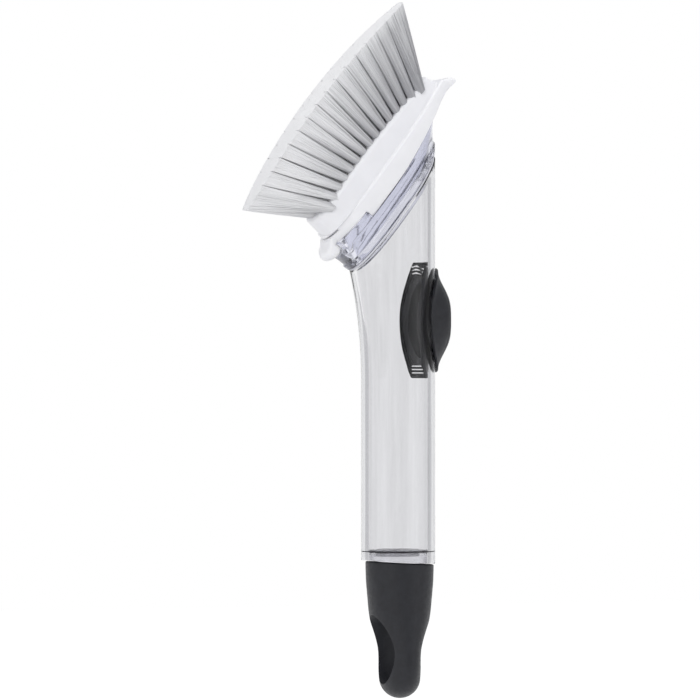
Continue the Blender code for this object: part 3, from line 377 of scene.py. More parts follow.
def smooth_step(value):
    value = clamp(value)
    return value * value * (3 - 2 * value)


def signed_power(value, power):
    return abs(value) ** power * (1 if value >= 0 else -1)


def shares(count):
    return [k / count for k in range(count + 1)]


def angles(count):
    return [2 * pi * k / count for k in range(count)]


def quarter_turns(count):
    return [pi / 2 * k / count for k in range(count + 1)]


def ellipse(depth, breadth, height, place=0.0, count=ROUND):
    return [(place + depth * cos(turn), breadth * sin(turn), height) for turn in angles(count)]


def circle(radius, height, count=ROUND, place=0.0):
    return ellipse(radius, radius, height, place, count)


def join_loops(shape, lower, upper):
    count = max(len(lower), len(upper))
    for k in range(count):
        corners = [lower[k % len(lower)], lower[(k + 1) % len(lower)],
                   upper[(k + 1) % len(upper)], upper[k % len(upper)]]
        shape.faces.new(list(dict.fromkeys(corners)))


def finish_mesh(name, shape, place=None):
    if place:
        bmesh.ops.transform(shape, matrix=place, verts=shape.verts)
    bmesh.ops.recalc_face_normals(shape, faces=shape.faces)
    if shape.calc_volume(signed=True) < 0:
        bmesh.ops.reverse_faces(shape, faces=shape.faces)
    data = bpy.data.meshes.new(name)
    shape.to_mesh(data)
    shape.free()
    return data


def skin(name, rings, wrap=False, place=None):
    """A closed skin through rings of points, which wraps round on itself or has closed ends."""
    shape = bmesh.new()
    loops = [[shape.verts.new(point) for point in ring] for ring in rings]
    for lower, upper in zip(loops, loops[1:]):
        join_loops(shape, lower, upper)
    if wrap:
        join_loops(shape, loops[-1], loops[0])
    else:
        for loop in (loops[0], loops[-1]):
            if len(loop) > 2:
                shape.faces.new(loop)
    return finish_mesh(name, shape, place)


def box_skin(name, low, high, place=None):
    corners = [[(x, y, z) for x, y in ((low[0], low[1]), (high[0], low[1]), (high[0], high[1]),
                                       (low[0], high[1]))] for z in (low[2], high[2])]
    return skin(name, corners, place=place)


def in_scene(name, data):
    item = bpy.data.objects.new(name, data)
    bpy.context.scene.collection.objects.link(item)
    return item


def piece(name, rings, wrap=False, place=None):
    return in_scene(name, skin(name, rings, wrap, place))


def apply_all(item):
    """Bake the modifiers into the piece's own mesh."""
    bpy.context.view_layer.update()
    seen = item.evaluated_get(bpy.context.evaluated_depsgraph_get())
    data = bpy.data.meshes.new_from_object(seen)
    item.modifiers.clear()
    item.data = data


def soften(item, segments=2, angle=SHARP_ANGLE):
    """Round the piece's sharp edges."""
    change = item.modifiers.new("soft_edges", 'BEVEL')
    change.width = SOFT_EDGES[item.name]
    change.segments = segments
    change.limit_method = 'ANGLE'
    change.angle_limit = angle
    change.use_clamp_overlap = True
    change.miter_outer = 'MITER_ARC'
    apply_all(item)


def cut(item, tool_data, operation='DIFFERENCE'):
    tool = in_scene("tool", tool_data)
    change = item.modifiers.new("cut", 'BOOLEAN')
    change.operation = operation
    change.solver = 'EXACT'
    change.object = tool
    apply_all(item)
    bpy.data.objects.remove(tool, do_unlink=True)


def weld(item):
    """Merge the points that lie on each other, and drop the faces without an area that they leave."""
    shape = bmesh.new()
    shape.from_mesh(item.data)
    bmesh.ops.remove_doubles(shape, verts=shape.verts, dist=WELD_DISTANCE)
    bmesh.ops.dissolve_degenerate(shape, edges=shape.edges, dist=WELD_DISTANCE)
    shape.to_mesh(item.data)
    shape.free()


def settle(item, body, slot, mat, *nodes):
    """Shade a piece, give it its material and body, and let it stand for its CAD nodes."""
    item.data.shade_smooth()
    item.data.set_sharp_from_angle(angle=SHARP_ANGLE)
    item.data.materials.clear()
    item.data.materials.append(mat)
    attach(item, body)
    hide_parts(*nodes)


# Shader nodes of materials and of the world

def link(owner, source, target):
    owner.node_tree.links.new(source, target)


def feed(owner, target, value):
    """Give an input a value, or link it where the value is another node's output."""
    if isinstance(value, bpy.types.NodeSocket):
        link(owner, value, target)
    else:
        target.default_value = value


def add_node(owner, kind, **values):
    """A node with these inputs and settings; a _ stands for the blank in an input's name."""
    node = owner.node_tree.nodes.new(kind)
    for key, value in values.items():
        name = key.replace("_", " ")
        if name in node.inputs:
            feed(owner, node.inputs[name], value)
        else:
            setattr(node, key, value)
    return node


def maths(owner, operation, first, second, kind="ShaderNodeMath"):
    node = add_node(owner, kind, operation=operation)
    feed(owner, node.inputs[0], first)
    feed(owner, node.inputs[1], second)
    return node.outputs["Value"]


def mixed_shader(owner, share, first, second):
    node = add_node(owner, "ShaderNodeMixShader", Fac=share)
    link(owner, first, node.inputs[1])
    link(owner, second, node.inputs[2])
    return node.outputs["Shader"]


def any_ray(owner, *kinds):
    """Whether a ray is of one of these kinds."""
    path = add_node(owner, "ShaderNodeLightPath")
    seen = path.outputs[kinds[0]]
    for kind in kinds[1:]:
        seen = maths(owner, 'MAXIMUM', seen, path.outputs[kind])
    return seen


def new_material(name, colour, roughness, **more):
    mat = bpy.data.materials.new(name)
    mat.use_nodes = True
    mat.diffuse_color = (*colour, 1.0)
    shader = mat.node_tree.nodes["Principled BSDF"]
    shader.inputs["Base Color"].default_value = (*colour, 1.0)
    shader.inputs["Roughness"].default_value = roughness
    for key, value in more.items():
        shader.inputs[key.replace("_", " ")].default_value = value
    return mat, shader


def noise_field(mat, scale, detail, stretch=None, lean=0.0):
    """Noise in the piece's own coordinates; scale counts waves in a metre along an unstretched axis."""
    place = add_node(mat, "ShaderNodeTexCoord").outputs["Object"]
    if stretch:
        turn = add_node(mat, "ShaderNodeMapping", vector_type='TEXTURE', Vector=place,
                        Rotation=(0.0, -lean, 0.0), Scale=tuple(1 / share for share in stretch))
        place = turn.outputs["Vector"]
    field = add_node(mat, "ShaderNodeTexNoise", Vector=place, Scale=scale, Detail=detail,
                     Roughness=NOISE_ROUGHNESS)
    return field.outputs["Fac"]


def vary_gloss(mat, shader, field, low, high):
    ramp = add_node(mat, "ShaderNodeMapRange", Value=field, From_Min=NOISE_RANGE[0],
                    From_Max=NOISE_RANGE[1], To_Min=low, To_Max=high)
    link(mat, ramp.outputs["Result"], shader.inputs["Roughness"])


def vary_colour(mat, shader, field, low, high, places=TINT_PLACES):
    ramp = add_node(mat, "ShaderNodeValToRGB", Fac=field)
    for stop, position, colour in zip(ramp.color_ramp.elements, places, (low, high)):
        stop.position = position
        stop.color = (*colour, 1.0)
    link(mat, ramp.outputs["Color"], shader.inputs["Base Color"])


def bump(mat, shader, field, height, below=None):
    node = add_node(mat, "ShaderNodeBump", Strength=1.0, Distance=height, Height=field)
    if below:
        link(mat, below.outputs["Normal"], node.inputs["Normal"])
    link(mat, node.outputs["Normal"], shader.inputs["Normal"])
    return node


# Materials

def clear_plastic(name, colour, roughness, ior, smoke, ripple, ripple_scale, stretch, lean=0.0):
    """Clear plastic with a little smoke in its depth, faint streaks and a rippled surface."""
    mat, shader = new_material(name, colour, roughness, Transmission_Weight=1.0, IOR=ior)
    streaks = noise_field(mat, STREAK_SCALE, 3.0, stretch, lean)
    vary_colour(mat, shader, streaks, tuple(part * STREAK_SHARE for part in colour), colour)
    depth = add_node(mat, "ShaderNodeVolumeAbsorption", Color=SMOKE_COLOUR, Density=smoke)
    link(mat, depth.outputs["Volume"], mat.node_tree.nodes["Material Output"].inputs["Volume"])
    bump(mat, shader, noise_field(mat, ripple_scale, 1.5, stretch, lean), ripple)
    gloss = noise_field(mat, scale=900, detail=2.0)
    vary_gloss(mat, shader, gloss, roughness * 0.6, roughness * 1.5)
    return mat


def white_plastic(name, low, high, roughness):
    """White moulded plastic, faintly mottled, with a fine grain and a little light passing into it."""
    mat, shader = new_material(name, high, roughness, Subsurface_Weight=0.12,
                                    Subsurface_Radius=(0.9, 0.9, 1.0), Subsurface_Scale=0.0015)
    vary_colour(mat, shader, noise_field(mat, scale=120, detail=3.0), low, high)
    gloss = noise_field(mat, scale=1500, detail=2.0)
    vary_gloss(mat, shader, gloss, roughness - 0.06, roughness + 0.08)
    bump(mat, shader, noise_field(mat, scale=3200, detail=3.0), height=0.000012)
    return mat


def dark_rubber(name, low, high, roughness, grain_height=0.000025):
    """Dark moulded rubber with a fine grain over shallow waves."""
    mat, shader = new_material(name, high, roughness, Specular_IOR_Level=0.34)
    vary_colour(mat, shader, noise_field(mat, scale=260, detail=4.0), low, high)
    gloss = noise_field(mat, scale=700, detail=3.0)
    vary_gloss(mat, shader, gloss, roughness - 0.07, roughness + 0.09)
    grain = bump(mat, shader, noise_field(mat, scale=5200, detail=4.0), grain_height)
    bump(mat, shader, noise_field(mat, scale=160, detail=2.0), height=0.00006, below=grain)
    return mat


def bristle_nylon(name, low, high, roughness):
    """Pale nylon that takes its colour from the filament's points, which carry painted light and shade
    and a random tone.
    """
    mat, shader = new_material(name, high, roughness)
    shade = add_node(mat, "ShaderNodeAttribute", attribute_name="shade")
    vary_colour(mat, shader, shade.outputs["Fac"], low, high, places=(0.0, 1.0))
    return mat


TUBE_CLEAR = clear_plastic("tube_clear", (0.925, 0.925, 0.935), roughness=0.04, ior=1.33, smoke=30.0,
                           ripple=0.00010, ripple_scale=190, stretch=(1.0, 1.0, 0.05))
CARRIER_CLEAR = clear_plastic("carrier_clear", (0.80, 0.808, 0.888), roughness=0.09, ior=1.45,
                              smoke=2.0, ripple=0.00014, ripple_scale=300, stretch=(0.16, 0.7, 1.0),
                              lean=pi / 2 - HEAD_TILT)
CORE_CLEAR = clear_plastic("core_clear", (0.90, 0.90, 0.93), roughness=0.08, ior=1.33, smoke=4.0,
                           ripple=0.00010, ripple_scale=300, stretch=(1.0, 1.0, 1.0))
REFILL_WHITE = white_plastic("refill_white", (0.865, 0.865, 0.885), (0.895, 0.895, 0.915), 0.36)
BLOCK_WHITE = white_plastic("block_white", (0.84, 0.84, 0.865), (0.87, 0.87, 0.895), 0.42)
RETAINER_WHITE = white_plastic("retainer_white", (0.84, 0.84, 0.86), (0.88, 0.88, 0.90), 0.30)
GASKET_RUBBER = white_plastic("gasket_rubber", (0.70, 0.70, 0.76), (0.78, 0.78, 0.84), 0.45)
VALVE_RUBBER = white_plastic("valve_rubber", (0.62, 0.64, 0.66), (0.70, 0.72, 0.74), 0.40)
GRIP_RUBBER = dark_rubber("grip_rubber", (0.012, 0.0125, 0.016), (0.017, 0.018, 0.023), 0.45)
BUTTON_RUBBER = dark_rubber("button_rubber", (0.011, 0.0115, 0.015), (0.017, 0.018, 0.023), 0.46,
                            grain_height=0.000010)
SEAL_RUBBER = dark_rubber("seal_rubber", (0.022, 0.021, 0.030), (0.032, 0.030, 0.042), 0.40)
NYLON = bristle_nylon("bristle_nylon", (0.41, 0.41, 0.43), (0.825, 0.825, 0.833), 0.42)


# Stopper

def grip_swell(share):
    """How far the grip has swollen at a share of its height, on a smooth curve through the table."""
    table = sorted(GRIP_SWELL_SHARES)
    if share <= table[0][0]:
        return 0.0
    k = max(index for index, (place, _) in enumerate(table[:-1]) if place <= share)
    before, start, end, after = (table[clamp(k + step, 0, len(table) - 1)][1] for step in (-1, 0, 1, 2))
    t = (share - table[k][0]) / (table[k + 1][0] - table[k][0])
    return clamp(0.5 * (2 * start + (end - before) * t
                        + (2 * before - 5 * start + 4 * end - after) * t ** 2
                        + (3 * start - before - 3 * end + after) * t ** 3))


def grip_section(height):
    """Half depth along X and half breadth along Y of the grip at a height over the hole's centre."""
    swell = grip_swell(height / GRIP_HEIGHT)
    depth = mix(GRIP_WAIST, GRIP_RADIUS, swell)
    breadth = mix(GRIP_BREADTH, GRIP_RADIUS, swell)
    end = -GRIP_END_DEPTH
    if height < end + GRIP_WAIST:
        depth = sqrt(max(0.0, GRIP_WAIST ** 2 - (end + GRIP_WAIST - height) ** 2))
    if height < end + GRIP_BREADTH:
        breadth = sqrt(max(0.0, GRIP_BREADTH ** 2 - (end + GRIP_BREADTH - height) ** 2))
    return depth, breadth


def shoulder_lift(x):
    return -x * GRIP_SHOULDER_SLOPE


def leaning_circle(radius, height):
    return [(x, y, z + shoulder_lift(x)) for x, y, z in circle(radius, height)]


def grip_ring(height, lean, inset=0.0):
    depth, breadth = grip_section(height)
    return [(x, y, height + lean * shoulder_lift(x))
            for x, y, _ in ellipse(depth - inset, breadth - inset, height, GRIP_OFFSET)]


def grip_rings():
    """The grip's outside, from the rounded rim of its shoulder down to its end."""
    rings = []
    for share in shares(GRIP_RIM_RINGS):
        turn = pi / 2 * (1 - share)
        rings.append(grip_ring(GRIP_HEIGHT - GRIP_RIM_EDGE * (1 - sin(turn)), 1.0,
                               GRIP_RIM_EDGE * (1 - cos(turn))))
    lowest = GRIP_SWELL_SHARES[-1][0] * GRIP_HEIGHT
    for share in shares(GRIP_RINGS)[1:]:
        height = mix(GRIP_HEIGHT - GRIP_RIM_EDGE, lowest, share)
        rings.append(grip_ring(height, max(0.0, height / GRIP_HEIGHT) ** 2))
    for share in shares(GRIP_END_RINGS)[1:-1]:
        rings.append(grip_ring(mix(lowest, -GRIP_END_DEPTH, sin(share * pi / 2)), 0.0))
    return rings + [[(GRIP_OFFSET, 0.0, -GRIP_END_DEPTH)]]


def hang_hole():
    """The tool for the hanging hole, which flares towards both faces of the grip."""
    reach = GRIP_RADIUS + GRIP_OFFSET + CUT_OVERRUN
    rings = []
    for place in [-reach + 2 * reach * share for share in shares(HANG_HOLE_RINGS)]:
        flare = HANG_HOLE_FLARE * max(0.0, (abs(place) - GRIP_WAIST / 2) / (reach - GRIP_WAIST / 2))
        rings.append([(place, (HANG_HOLE_BREADTH / 2 + flare) * cos(turn),
                       (HANG_HOLE_HEIGHT / 2 + flare) * sin(turn)) for turn in angles(ROUND)])
    return skin("hole", rings)


def make_grip():
    socket = STEM_RADIUS + GAP
    floor = STEM_DEPTH - GAP
    inside = [[(0.0, 0.0, floor)], circle(socket, floor), leaning_circle(socket, GRIP_HEIGHT)]
    grip = piece("grip_body", inside + grip_rings())
    cut(grip, hang_hole())
    soften(grip, 4, GRIP_EDGE_ANGLE)
    weld(grip)
    settle(grip, "cap", "grip_rubber", GRIP_RUBBER, "end_grip")


def make_core():
    radius = BORE - PLUG_CLEARANCE
    groove = BORE - 2 * GAP - SEAL_THICKNESS
    pocket = radius - PLUG_WALL
    top = FOOT + PLUG_HEIGHT
    floor = FOOT + PLUG_FLOOR
    middle = FOOT + SEAL_HEIGHT
    half = SEAL_LINE_THICKNESS / 2 + GAP / 3
    profile = ((radius, middle - half), (groove, middle - half), (groove, middle + half),
               (radius, middle + half), (radius, top), (pocket, top), (pocket, floor))
    rings = [[(0.0, 0.0, STEM_DEPTH)], circle(STEM_RADIUS, STEM_DEPTH), leaning_circle(STEM_RADIUS, FOOT),
             leaning_circle(radius, FOOT), *(circle(*point) for point in profile), [(0.0, 0.0, floor)]]
    core = piece("plug_core", rings)
    soften(core)
    settle(core, "cap", "core_plastic", CORE_CLEAR, "cap_core")


def make_seal():
    section = SEAL_LINE_THICKNESS / 2
    contact = BORE + SEAL_SQUEEZE - section
    middle = FOOT + SEAL_HEIGHT
    rings = [circle(contact + section * cos(turn), middle + section * sin(turn))
             for turn in angles(SEAL_SIDES)]
    settle(piece("plug_ring", rings, wrap=True), "cap", "seal_rubber", SEAL_RUBBER, "cap_seal")


# Handle tube

def tube_x(cosine, inset, z):
    reach = TUBE_RADIUS - inset
    if cosine < 0:
        reach += FLARE_REACH * max(0.0, (z - FOOT - FLARE_START) / FLARE_HEIGHT) ** 2
    return reach * cosine


def slanted_point(turn, inset, lift=0.0):
    """Where a line up the flared tube meets the plane of its mouth."""
    x = 0.0
    for _ in range(SOLVE_STEPS):
        z = MOUTH + lift + x / tan(HEAD_TILT)
        x = tube_x(cos(turn), inset, z)
    return x, (TUBE_RADIUS - inset) * sin(turn), MOUTH + lift + x / tan(HEAD_TILT)


def tube_rings(inset):
    """Straight rings up to the flare, then rings that tilt more and more into the slanted mouth."""
    flare_foot = FOOT + FLARE_START
    rings = [[(x, y, mix(z, flare_foot, share)) for x, y, z in leaning_circle(TUBE_RADIUS - inset, FOOT)]
             for share in STRAIGHT_SHARES]
    for share in shares(FLARE_RINGS)[1:]:
        ring = []
        for turn in angles(ROUND):
            z = mix(flare_foot, slanted_point(turn, inset)[2], share)
            ring.append((tube_x(cos(turn), inset, z), (TUBE_RADIUS - inset) * sin(turn), z))
        rings.append(ring)
    return rings


def make_tube():
    tube = piece("tube_shell", tube_rings(0.0) + tube_rings(TUBE_WALL)[::-1], wrap=True)
    opening = grown(NECK_OVAL, GAP)
    cut(tube, skin("opening", [oval_ring(BORE - opening[0], opening),
                               oval_ring(TUBE_RADIUS + CUT_OVERRUN, opening)]))
    soften(tube, 3)
    settle(tube, "handle", "tube_plastic", TUBE_CLEAR, "handle_tube")


# Button

def grown(oval, margin):
    return oval[0] + margin, oval[1] + margin


def oval_place(turn, half_width, half_height):
    return half_width * cos(turn), BUTTON_CENTRE + half_height * sin(turn)


def oval_ring(x, oval):
    return [(x, *oval_place(turn, *oval)) for turn in angles(BUTTON_ROUND)]


def wrapped_point(radius, wrap, z):
    return (radius * cos(wrap), radius * sin(wrap), z)


def dome_height(wrap, z):
    out = sqrt((wrap / BUTTON_HALF_WRAP) ** 2 + ((z - BUTTON_CENTRE) / BUTTON_HALF_HEIGHT) ** 2)
    return BUTTON_LIP + (BUTTON_CROWN - BUTTON_LIP) * smooth_step((1 - out) / BUTTON_SLOPE_SHARE)


def dome_wrap(y, z):
    """The turn about the tube at which the dome reaches a distance from the middle."""
    radius = TUBE_RADIUS + BUTTON_CROWN
    for _ in range(SOLVE_STEPS):
        wrap = asin(y / radius)
        radius = TUBE_RADIUS + GAP + dome_height(wrap, z)
    return wrap


def dome_point(wrap, z):
    return wrapped_point(TUBE_RADIUS + GAP + dome_height(wrap, z), wrap, z)


def lip_points(turn, oval, radius, half_wrap, half_height):
    y, z = oval_place(turn, *oval)
    start_wrap = asin(y / radius)
    end_wrap = half_wrap * cos(turn)
    end_z = BUTTON_CENTRE + half_height * sin(turn)
    return [wrapped_point(radius, mix(start_wrap, end_wrap, share), mix(z, end_z, share))
            for share in shares(LIP_STEPS)]


def inner_lip_points(turn, oval, radius, groove_depth):
    """Points along a face of the inner lip, which is a barrel with blunt ends; one face is ribbed."""
    y, z = oval_place(turn, *oval)
    start_wrap = asin(y / radius)
    end_wrap = INNER_LIP_HALF_WRAP * cos(turn) * (1 - LIP_TAPER * max(0.0, sin(turn)) ** 2)
    end_z = BUTTON_CENTRE + INNER_LIP_HALF_HEIGHT * clamp(INNER_LIP_BARREL_SHARE * sin(turn), -1.0)
    points = []
    for (share, deep), (next_share, next_deep) in zip(RIBBED_LIP_SHARES, RIBBED_LIP_SHARES[1:]):
        for part in shares(4)[:-1]:
            place = mix(share, next_share, part)
            depth = groove_depth * smooth_step(mix(deep, next_deep, part))
            points.append(wrapped_point(radius + depth, mix(start_wrap, end_wrap, place),
                                        mix(z, end_z, place)))
    points.append(wrapped_point(radius, end_wrap, end_z))
    return points


def rim_section(turn):
    """One section through the rim: its domed face, outer lip, neck and ribbed inner lip."""
    y, z = oval_place(turn, *PAD_HOLE)
    start_wrap = dome_wrap(y, z)
    end_wrap = BUTTON_HALF_WRAP * cos(turn)
    end_z = BUTTON_CENTRE + BUTTON_HALF_HEIGHT * sin(turn)
    face = [dome_point(mix(start_wrap, end_wrap, share), mix(z, end_z, share))
            for share in shares(RIM_FACE_STEPS)]
    outer = lip_points(turn, NECK_OVAL, TUBE_RADIUS + GAP, BUTTON_HALF_WRAP, BUTTON_HALF_HEIGHT)
    inner = inner_lip_points(turn, NECK_OVAL, BORE - GAP, 0)
    under = inner_lip_points(turn, PAD_HOLE, BORE - GAP - INNER_LIP, LIP_RIB_DEPTH)
    return face + outer[::-1] + inner + under[::-1]


def lip_slot(end, number):
    """A narrow slot across the inner lip's end, between two of its ribs; those at the top are wavy."""
    height = BUTTON_CENTRE + end * (LIP_SLOT_START + number * LIP_SLOT_PITCH)
    wave = LIP_SLOT_WAVE if end > 0 else 0.0
    width = LIP_SLOT_WIDTH * (TOP_SLOT_WIDTH_SHARE if end > 0 else 1.0)
    deep = BORE - LIP_SLOT_DEPTH
    rings = []
    for share in shares(SLOT_STEPS):
        y = LIP_SLOT_REACH * (2 * share - 1)
        z = height + wave * sin(3 * pi * share)
        rings.append([(deep, y, z - width / 2), (BORE + GAP, y, z - width / 2),
                      (BORE + GAP, y, z + width / 2), (deep, y, z + width / 2)])
    return skin("lip_slot", rings)


def make_rim():
    rim = piece("rim_skin", [rim_section(turn) for turn in angles(BUTTON_ROUND)], wrap=True)
    soften(rim, 3, BUTTON_EDGE_ANGLE)
    for end in (-1, 1):
        for number in range(LIP_SLOTS):
            cut(rim, lip_slot(end, number))
    weld(rim)
    settle(rim, "handle", "button_rubber", BUTTON_RUBBER, "button_rim")


def face_ring(share, sink=0.0):
    """A ring on the pad's domed face, or on the inside of that face where it is sunk."""
    ring = []
    for turn in angles(BUTTON_ROUND):
        y, z = oval_place(turn, *(share * (size - sink) for size in PAD_OVAL))
        x, _, _ = dome_point(dome_wrap(y, z), z)
        ring.append((x - sink, y, z))
    return ring


def make_pad():
    crown = TUBE_RADIUS + GAP + dome_height(0.0, BUTTON_CENTRE)
    rings = [[(crown, 0.0, BUTTON_CENTRE)]] + [face_ring(share) for share in shares(PAD_RINGS)[1:]]
    rings += [oval_ring(PAD_BACK, PAD_OVAL), oval_ring(PAD_BACK, grown(PAD_OVAL, -PAD_WALL))]
    rings += [face_ring(share, PAD_WALL) for share in PAD_INSIDE_SHARES]
    rings.append([(crown - PAD_WALL, 0.0, BUTTON_CENTRE)])
    pad = piece("pad_skin", rings)
    soften(pad, 2, BUTTON_EDGE_ANGLE)
    settle(pad, "button", "button_rubber", BUTTON_RUBBER, "button_pad")


def make_diaphragm():
    top = PAD_BACK - GAP
    outer = grown(PAD_OVAL, -GAP)
    inner = grown(outer, -DIAPHRAGM_WALL)
    rings = []
    for turn in angles(BUTTON_ROUND):
        flange = lip_points(turn, outer, DIAPHRAGM_RADIUS, DIAPHRAGM_HALF_WRAP, DIAPHRAGM_HALF_HEIGHT)
        under = lip_points(turn, inner, DIAPHRAGM_RADIUS - DIAPHRAGM_WALL, DIAPHRAGM_HALF_WRAP,
                           DIAPHRAGM_HALF_HEIGHT)
        rings.append([(top, *oval_place(turn, *outer))] + flange + under[::-1]
                     + [(top, *oval_place(turn, *inner))])
    sleeve = piece("sleeve_skin", rings, wrap=True)
    settle(sleeve, "handle", "button_rubber", BUTTON_RUBBER, "button_diaphragm")
    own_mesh(sleeve)


# Head outlines, in the head's own frame: x along the refill, y across, z square to it

def collar_ring(inset, height):
    ring = []
    for turn in angles(ROUND):
        x, y, _ = slanted_point(turn, inset)
        back_share = (1 + cos(turn)) / 2
        ring.append((x / sin(HEAD_TILT) + back_share * height / tan(HEAD_TILT), y, height))
    return ring


def sunk_ring(inset, depth):
    ring = []
    for turn in angles(ROUND):
        x, y, _ = slanted_point(turn, inset, -depth / sin(HEAD_TILT))
        ring.append(((x - depth * cos(HEAD_TILT)) / sin(HEAD_TILT), y, -depth))
    return ring


def plan_points(outline, inset=0.0):
    low_end, tip, half_width, power = outline
    centre = (tip - low_end) / 2
    half_length = (tip + low_end) / 2
    return [(centre + (half_length - inset) * signed_power(cos(turn), 2 / power),
             (half_width - inset) * signed_power(sin(turn), 2 / power))
            for turn in angles(ROUND)]


def plan_ring(outline, height, inset=0.0):
    """A ring on an outline, level or at a height that depends on the place along the head."""
    points = plan_points(outline, inset)
    if callable(height):
        return [(x, y, height(x)) for x, y in points]
    return [(x, y, height) for x, y in points]


def ring_between(lower, upper, share, height_share):
    return [(mix(a[0], b[0], share), mix(a[1], b[1], share), mix(a[2], b[2], height_share))
            for a, b in zip(lower, upper)]


def valve_circle(radius, height, count=ROUND):
    return circle(radius, height, count, VALVE_PLACE)


def shoulder_rise(x):
    return SHOULDER_RISE * clamp((x - SHOULDER_RISE_START) / SHOULDER_RISE_LENGTH) ** 1.5


def shoulder_height(x):
    dip = SHOULDER_DIP * smooth_step((-SLIT_START - x) / SHOULDER_DIP_LENGTH)
    return SHOULDER_HEIGHT + shoulder_rise(x) - dip


def skirt_edge(x):
    fall = SCRAPER_BACK_FALL_SHARE * max(0.0, x - SCRAPER_BACK_BEND)
    return SHOULDER_HEIGHT + GAP + shoulder_rise(x) - fall


def flange_side(x):
    return FLANGE_FRONT - SCRAPER_FALL_SHARE * max(0.0, x - SCRAPER_BEND) - FLANGE_FRONT_EDGE


# Gasket, carrier, valve and retainer

def make_gasket():
    low = GAP
    high = GAP + GASKET_THICKNESS
    rings = [collar_ring(GASKET_EDGE, low), collar_ring(GASKET_EDGE, high),
             collar_ring(GASKET_LAP, high), collar_ring(GASKET_LAP, low)]
    gasket = piece("gasket_ring", rings, wrap=True, place=HEAD_PLACE)
    soften(gasket)
    settle(gasket, "handle", "seal_rubber", GASKET_RUBBER, "mouth_gasket")


def loft(lower, upper):
    """Rings from the collar out to the shoulder, hollowed a little like the real moulding."""
    return [ring_between(lower, upper, mix(LOFT_HOLLOW * share, share, share), share)
            for share in shares(LOFT_RINGS)[1:-1]]


def wall_rings(start, end):
    """A straight wall, with more rings near its ends so that its shading stays true."""
    return [ring_between(start, end, share, share) for share in WALL_SHARES]


def carrier_rings():
    """The carrier's section: spigot, collar, shoulder and boss, then the valve's seat and the inside."""
    spigot = TUBE_WALL + GAP
    throat = spigot + SPIGOT_WALL
    collar_top = COLLAR_BASE + COLLAR_HEIGHT
    step = collar_ring(COLLAR_STEP, collar_top + COLLAR_STEP)
    shoulder = plan_ring(SHOULDER, shoulder_height)
    cavity_top = SEAT_HEIGHT - SEAT_WALL
    seat_floor = SEAT_HEIGHT - VALVE_SEAT_DEPTH
    nozzle_end = SEAT_HEIGHT - NOZZLE_BOSS_DEPTH
    return [
        sunk_ring(spigot, SPIGOT_DEPTH),
        collar_ring(spigot, 0.0),
        collar_ring(spigot, COLLAR_BASE),
        collar_ring(0.0, COLLAR_BASE),
        collar_ring(0.0, collar_top),
        step,
        *loft(step, shoulder),
        shoulder,
        plan_ring(BOSS, shoulder_height),
        plan_ring(BOSS, SEAT_HEIGHT - SEAT_EDGE),
        plan_ring(BOSS, SEAT_HEIGHT, SEAT_EDGE),
        valve_circle(VALVE_SEAT_RADIUS, SEAT_HEIGHT),
        valve_circle(VALVE_SEAT_RADIUS, seat_floor),
        valve_circle(NOZZLE_RADIUS, seat_floor),
        valve_circle(NOZZLE_RADIUS, nozzle_end),
        valve_circle(NOZZLE_BOSS_RADIUS, nozzle_end),
        valve_circle(NOZZLE_BOSS_RADIUS, cavity_top),
        *wall_rings(plan_ring(BOSS, cavity_top, SEAT_WALL), collar_ring(throat, COLLAR_BASE)),
        collar_ring(throat, 0.0),
        sunk_ring(throat, SPIGOT_DEPTH),
    ]


def latch_rib():
    """The raised block that fills the notch of the refill's skirt."""
    rings = [plan_ring(SHOULDER, LATCH_ROOT_HEIGHT, COLLAR_STEP),
             plan_ring(SHOULDER, LATCH_HEIGHT, COLLAR_STEP),
             plan_ring(BOSS, LATCH_HEIGHT, LATCH_LAP),
             plan_ring(BOSS, LATCH_ROOT_HEIGHT, LATCH_LAP)]
    rib = piece("rib", rings, wrap=True, place=HEAD_PLACE)
    side = SHOULDER[2] + CUT_OVERRUN
    cut(rib, box_skin("window", (-LATCH_END, -side, LATCH_ROOT_HEIGHT - CUT_OVERRUN),
                      (-LATCH_START, side, LATCH_HEIGHT + CUT_OVERRUN), HEAD_PLACE), 'INTERSECT')
    soften(rib)
    data = rib.data
    bpy.data.objects.remove(rib, do_unlink=True)
    return data


def make_carrier():
    carrier = piece("carrier_shell", carrier_rings(), wrap=True, place=HEAD_PLACE)
    soften(carrier)
    cut(carrier, latch_rib(), 'UNION')
    weld(carrier)
    settle(carrier, "handle", "carrier_plastic", CARRIER_CLEAR, "head_carrier")


def bill_ring(radius, height, flatness=1.0):
    return ellipse(radius, radius * flatness, height, VALVE_PLACE, VALVE_ROUND)


def make_valve():
    """A duckbill: a round flange whose duct flattens into closed lips."""
    tip = VALVE_HIGH + VALVE_BILL_HEIGHT
    duct = VALVE_BILL_RADIUS - VALVE_WALL
    flange = VALVE_SEAT_RADIUS - 2 * GAP
    rings = [[(VALVE_PLACE, 0.0, tip - VALVE_WALL)],
             bill_ring(duct, tip - VALVE_WALL, (VALVE_BILL_LIP - VALVE_WALL / 2) / duct),
             bill_ring(duct, VALVE_HIGH), bill_ring(duct, VALVE_LOW),
             bill_ring(flange, VALVE_LOW), bill_ring(flange, VALVE_HIGH),
             bill_ring(VALVE_BILL_RADIUS, VALVE_HIGH),
             bill_ring(VALVE_BILL_RADIUS, tip, VALVE_BILL_LIP / VALVE_BILL_RADIUS),
             [(VALVE_PLACE, 0.0, tip)]]
    valve = piece("valve_bill", rings, place=HEAD_PLACE)
    settle(valve, "handle", "valve_rubber", VALVE_RUBBER, "dispensing_valve")


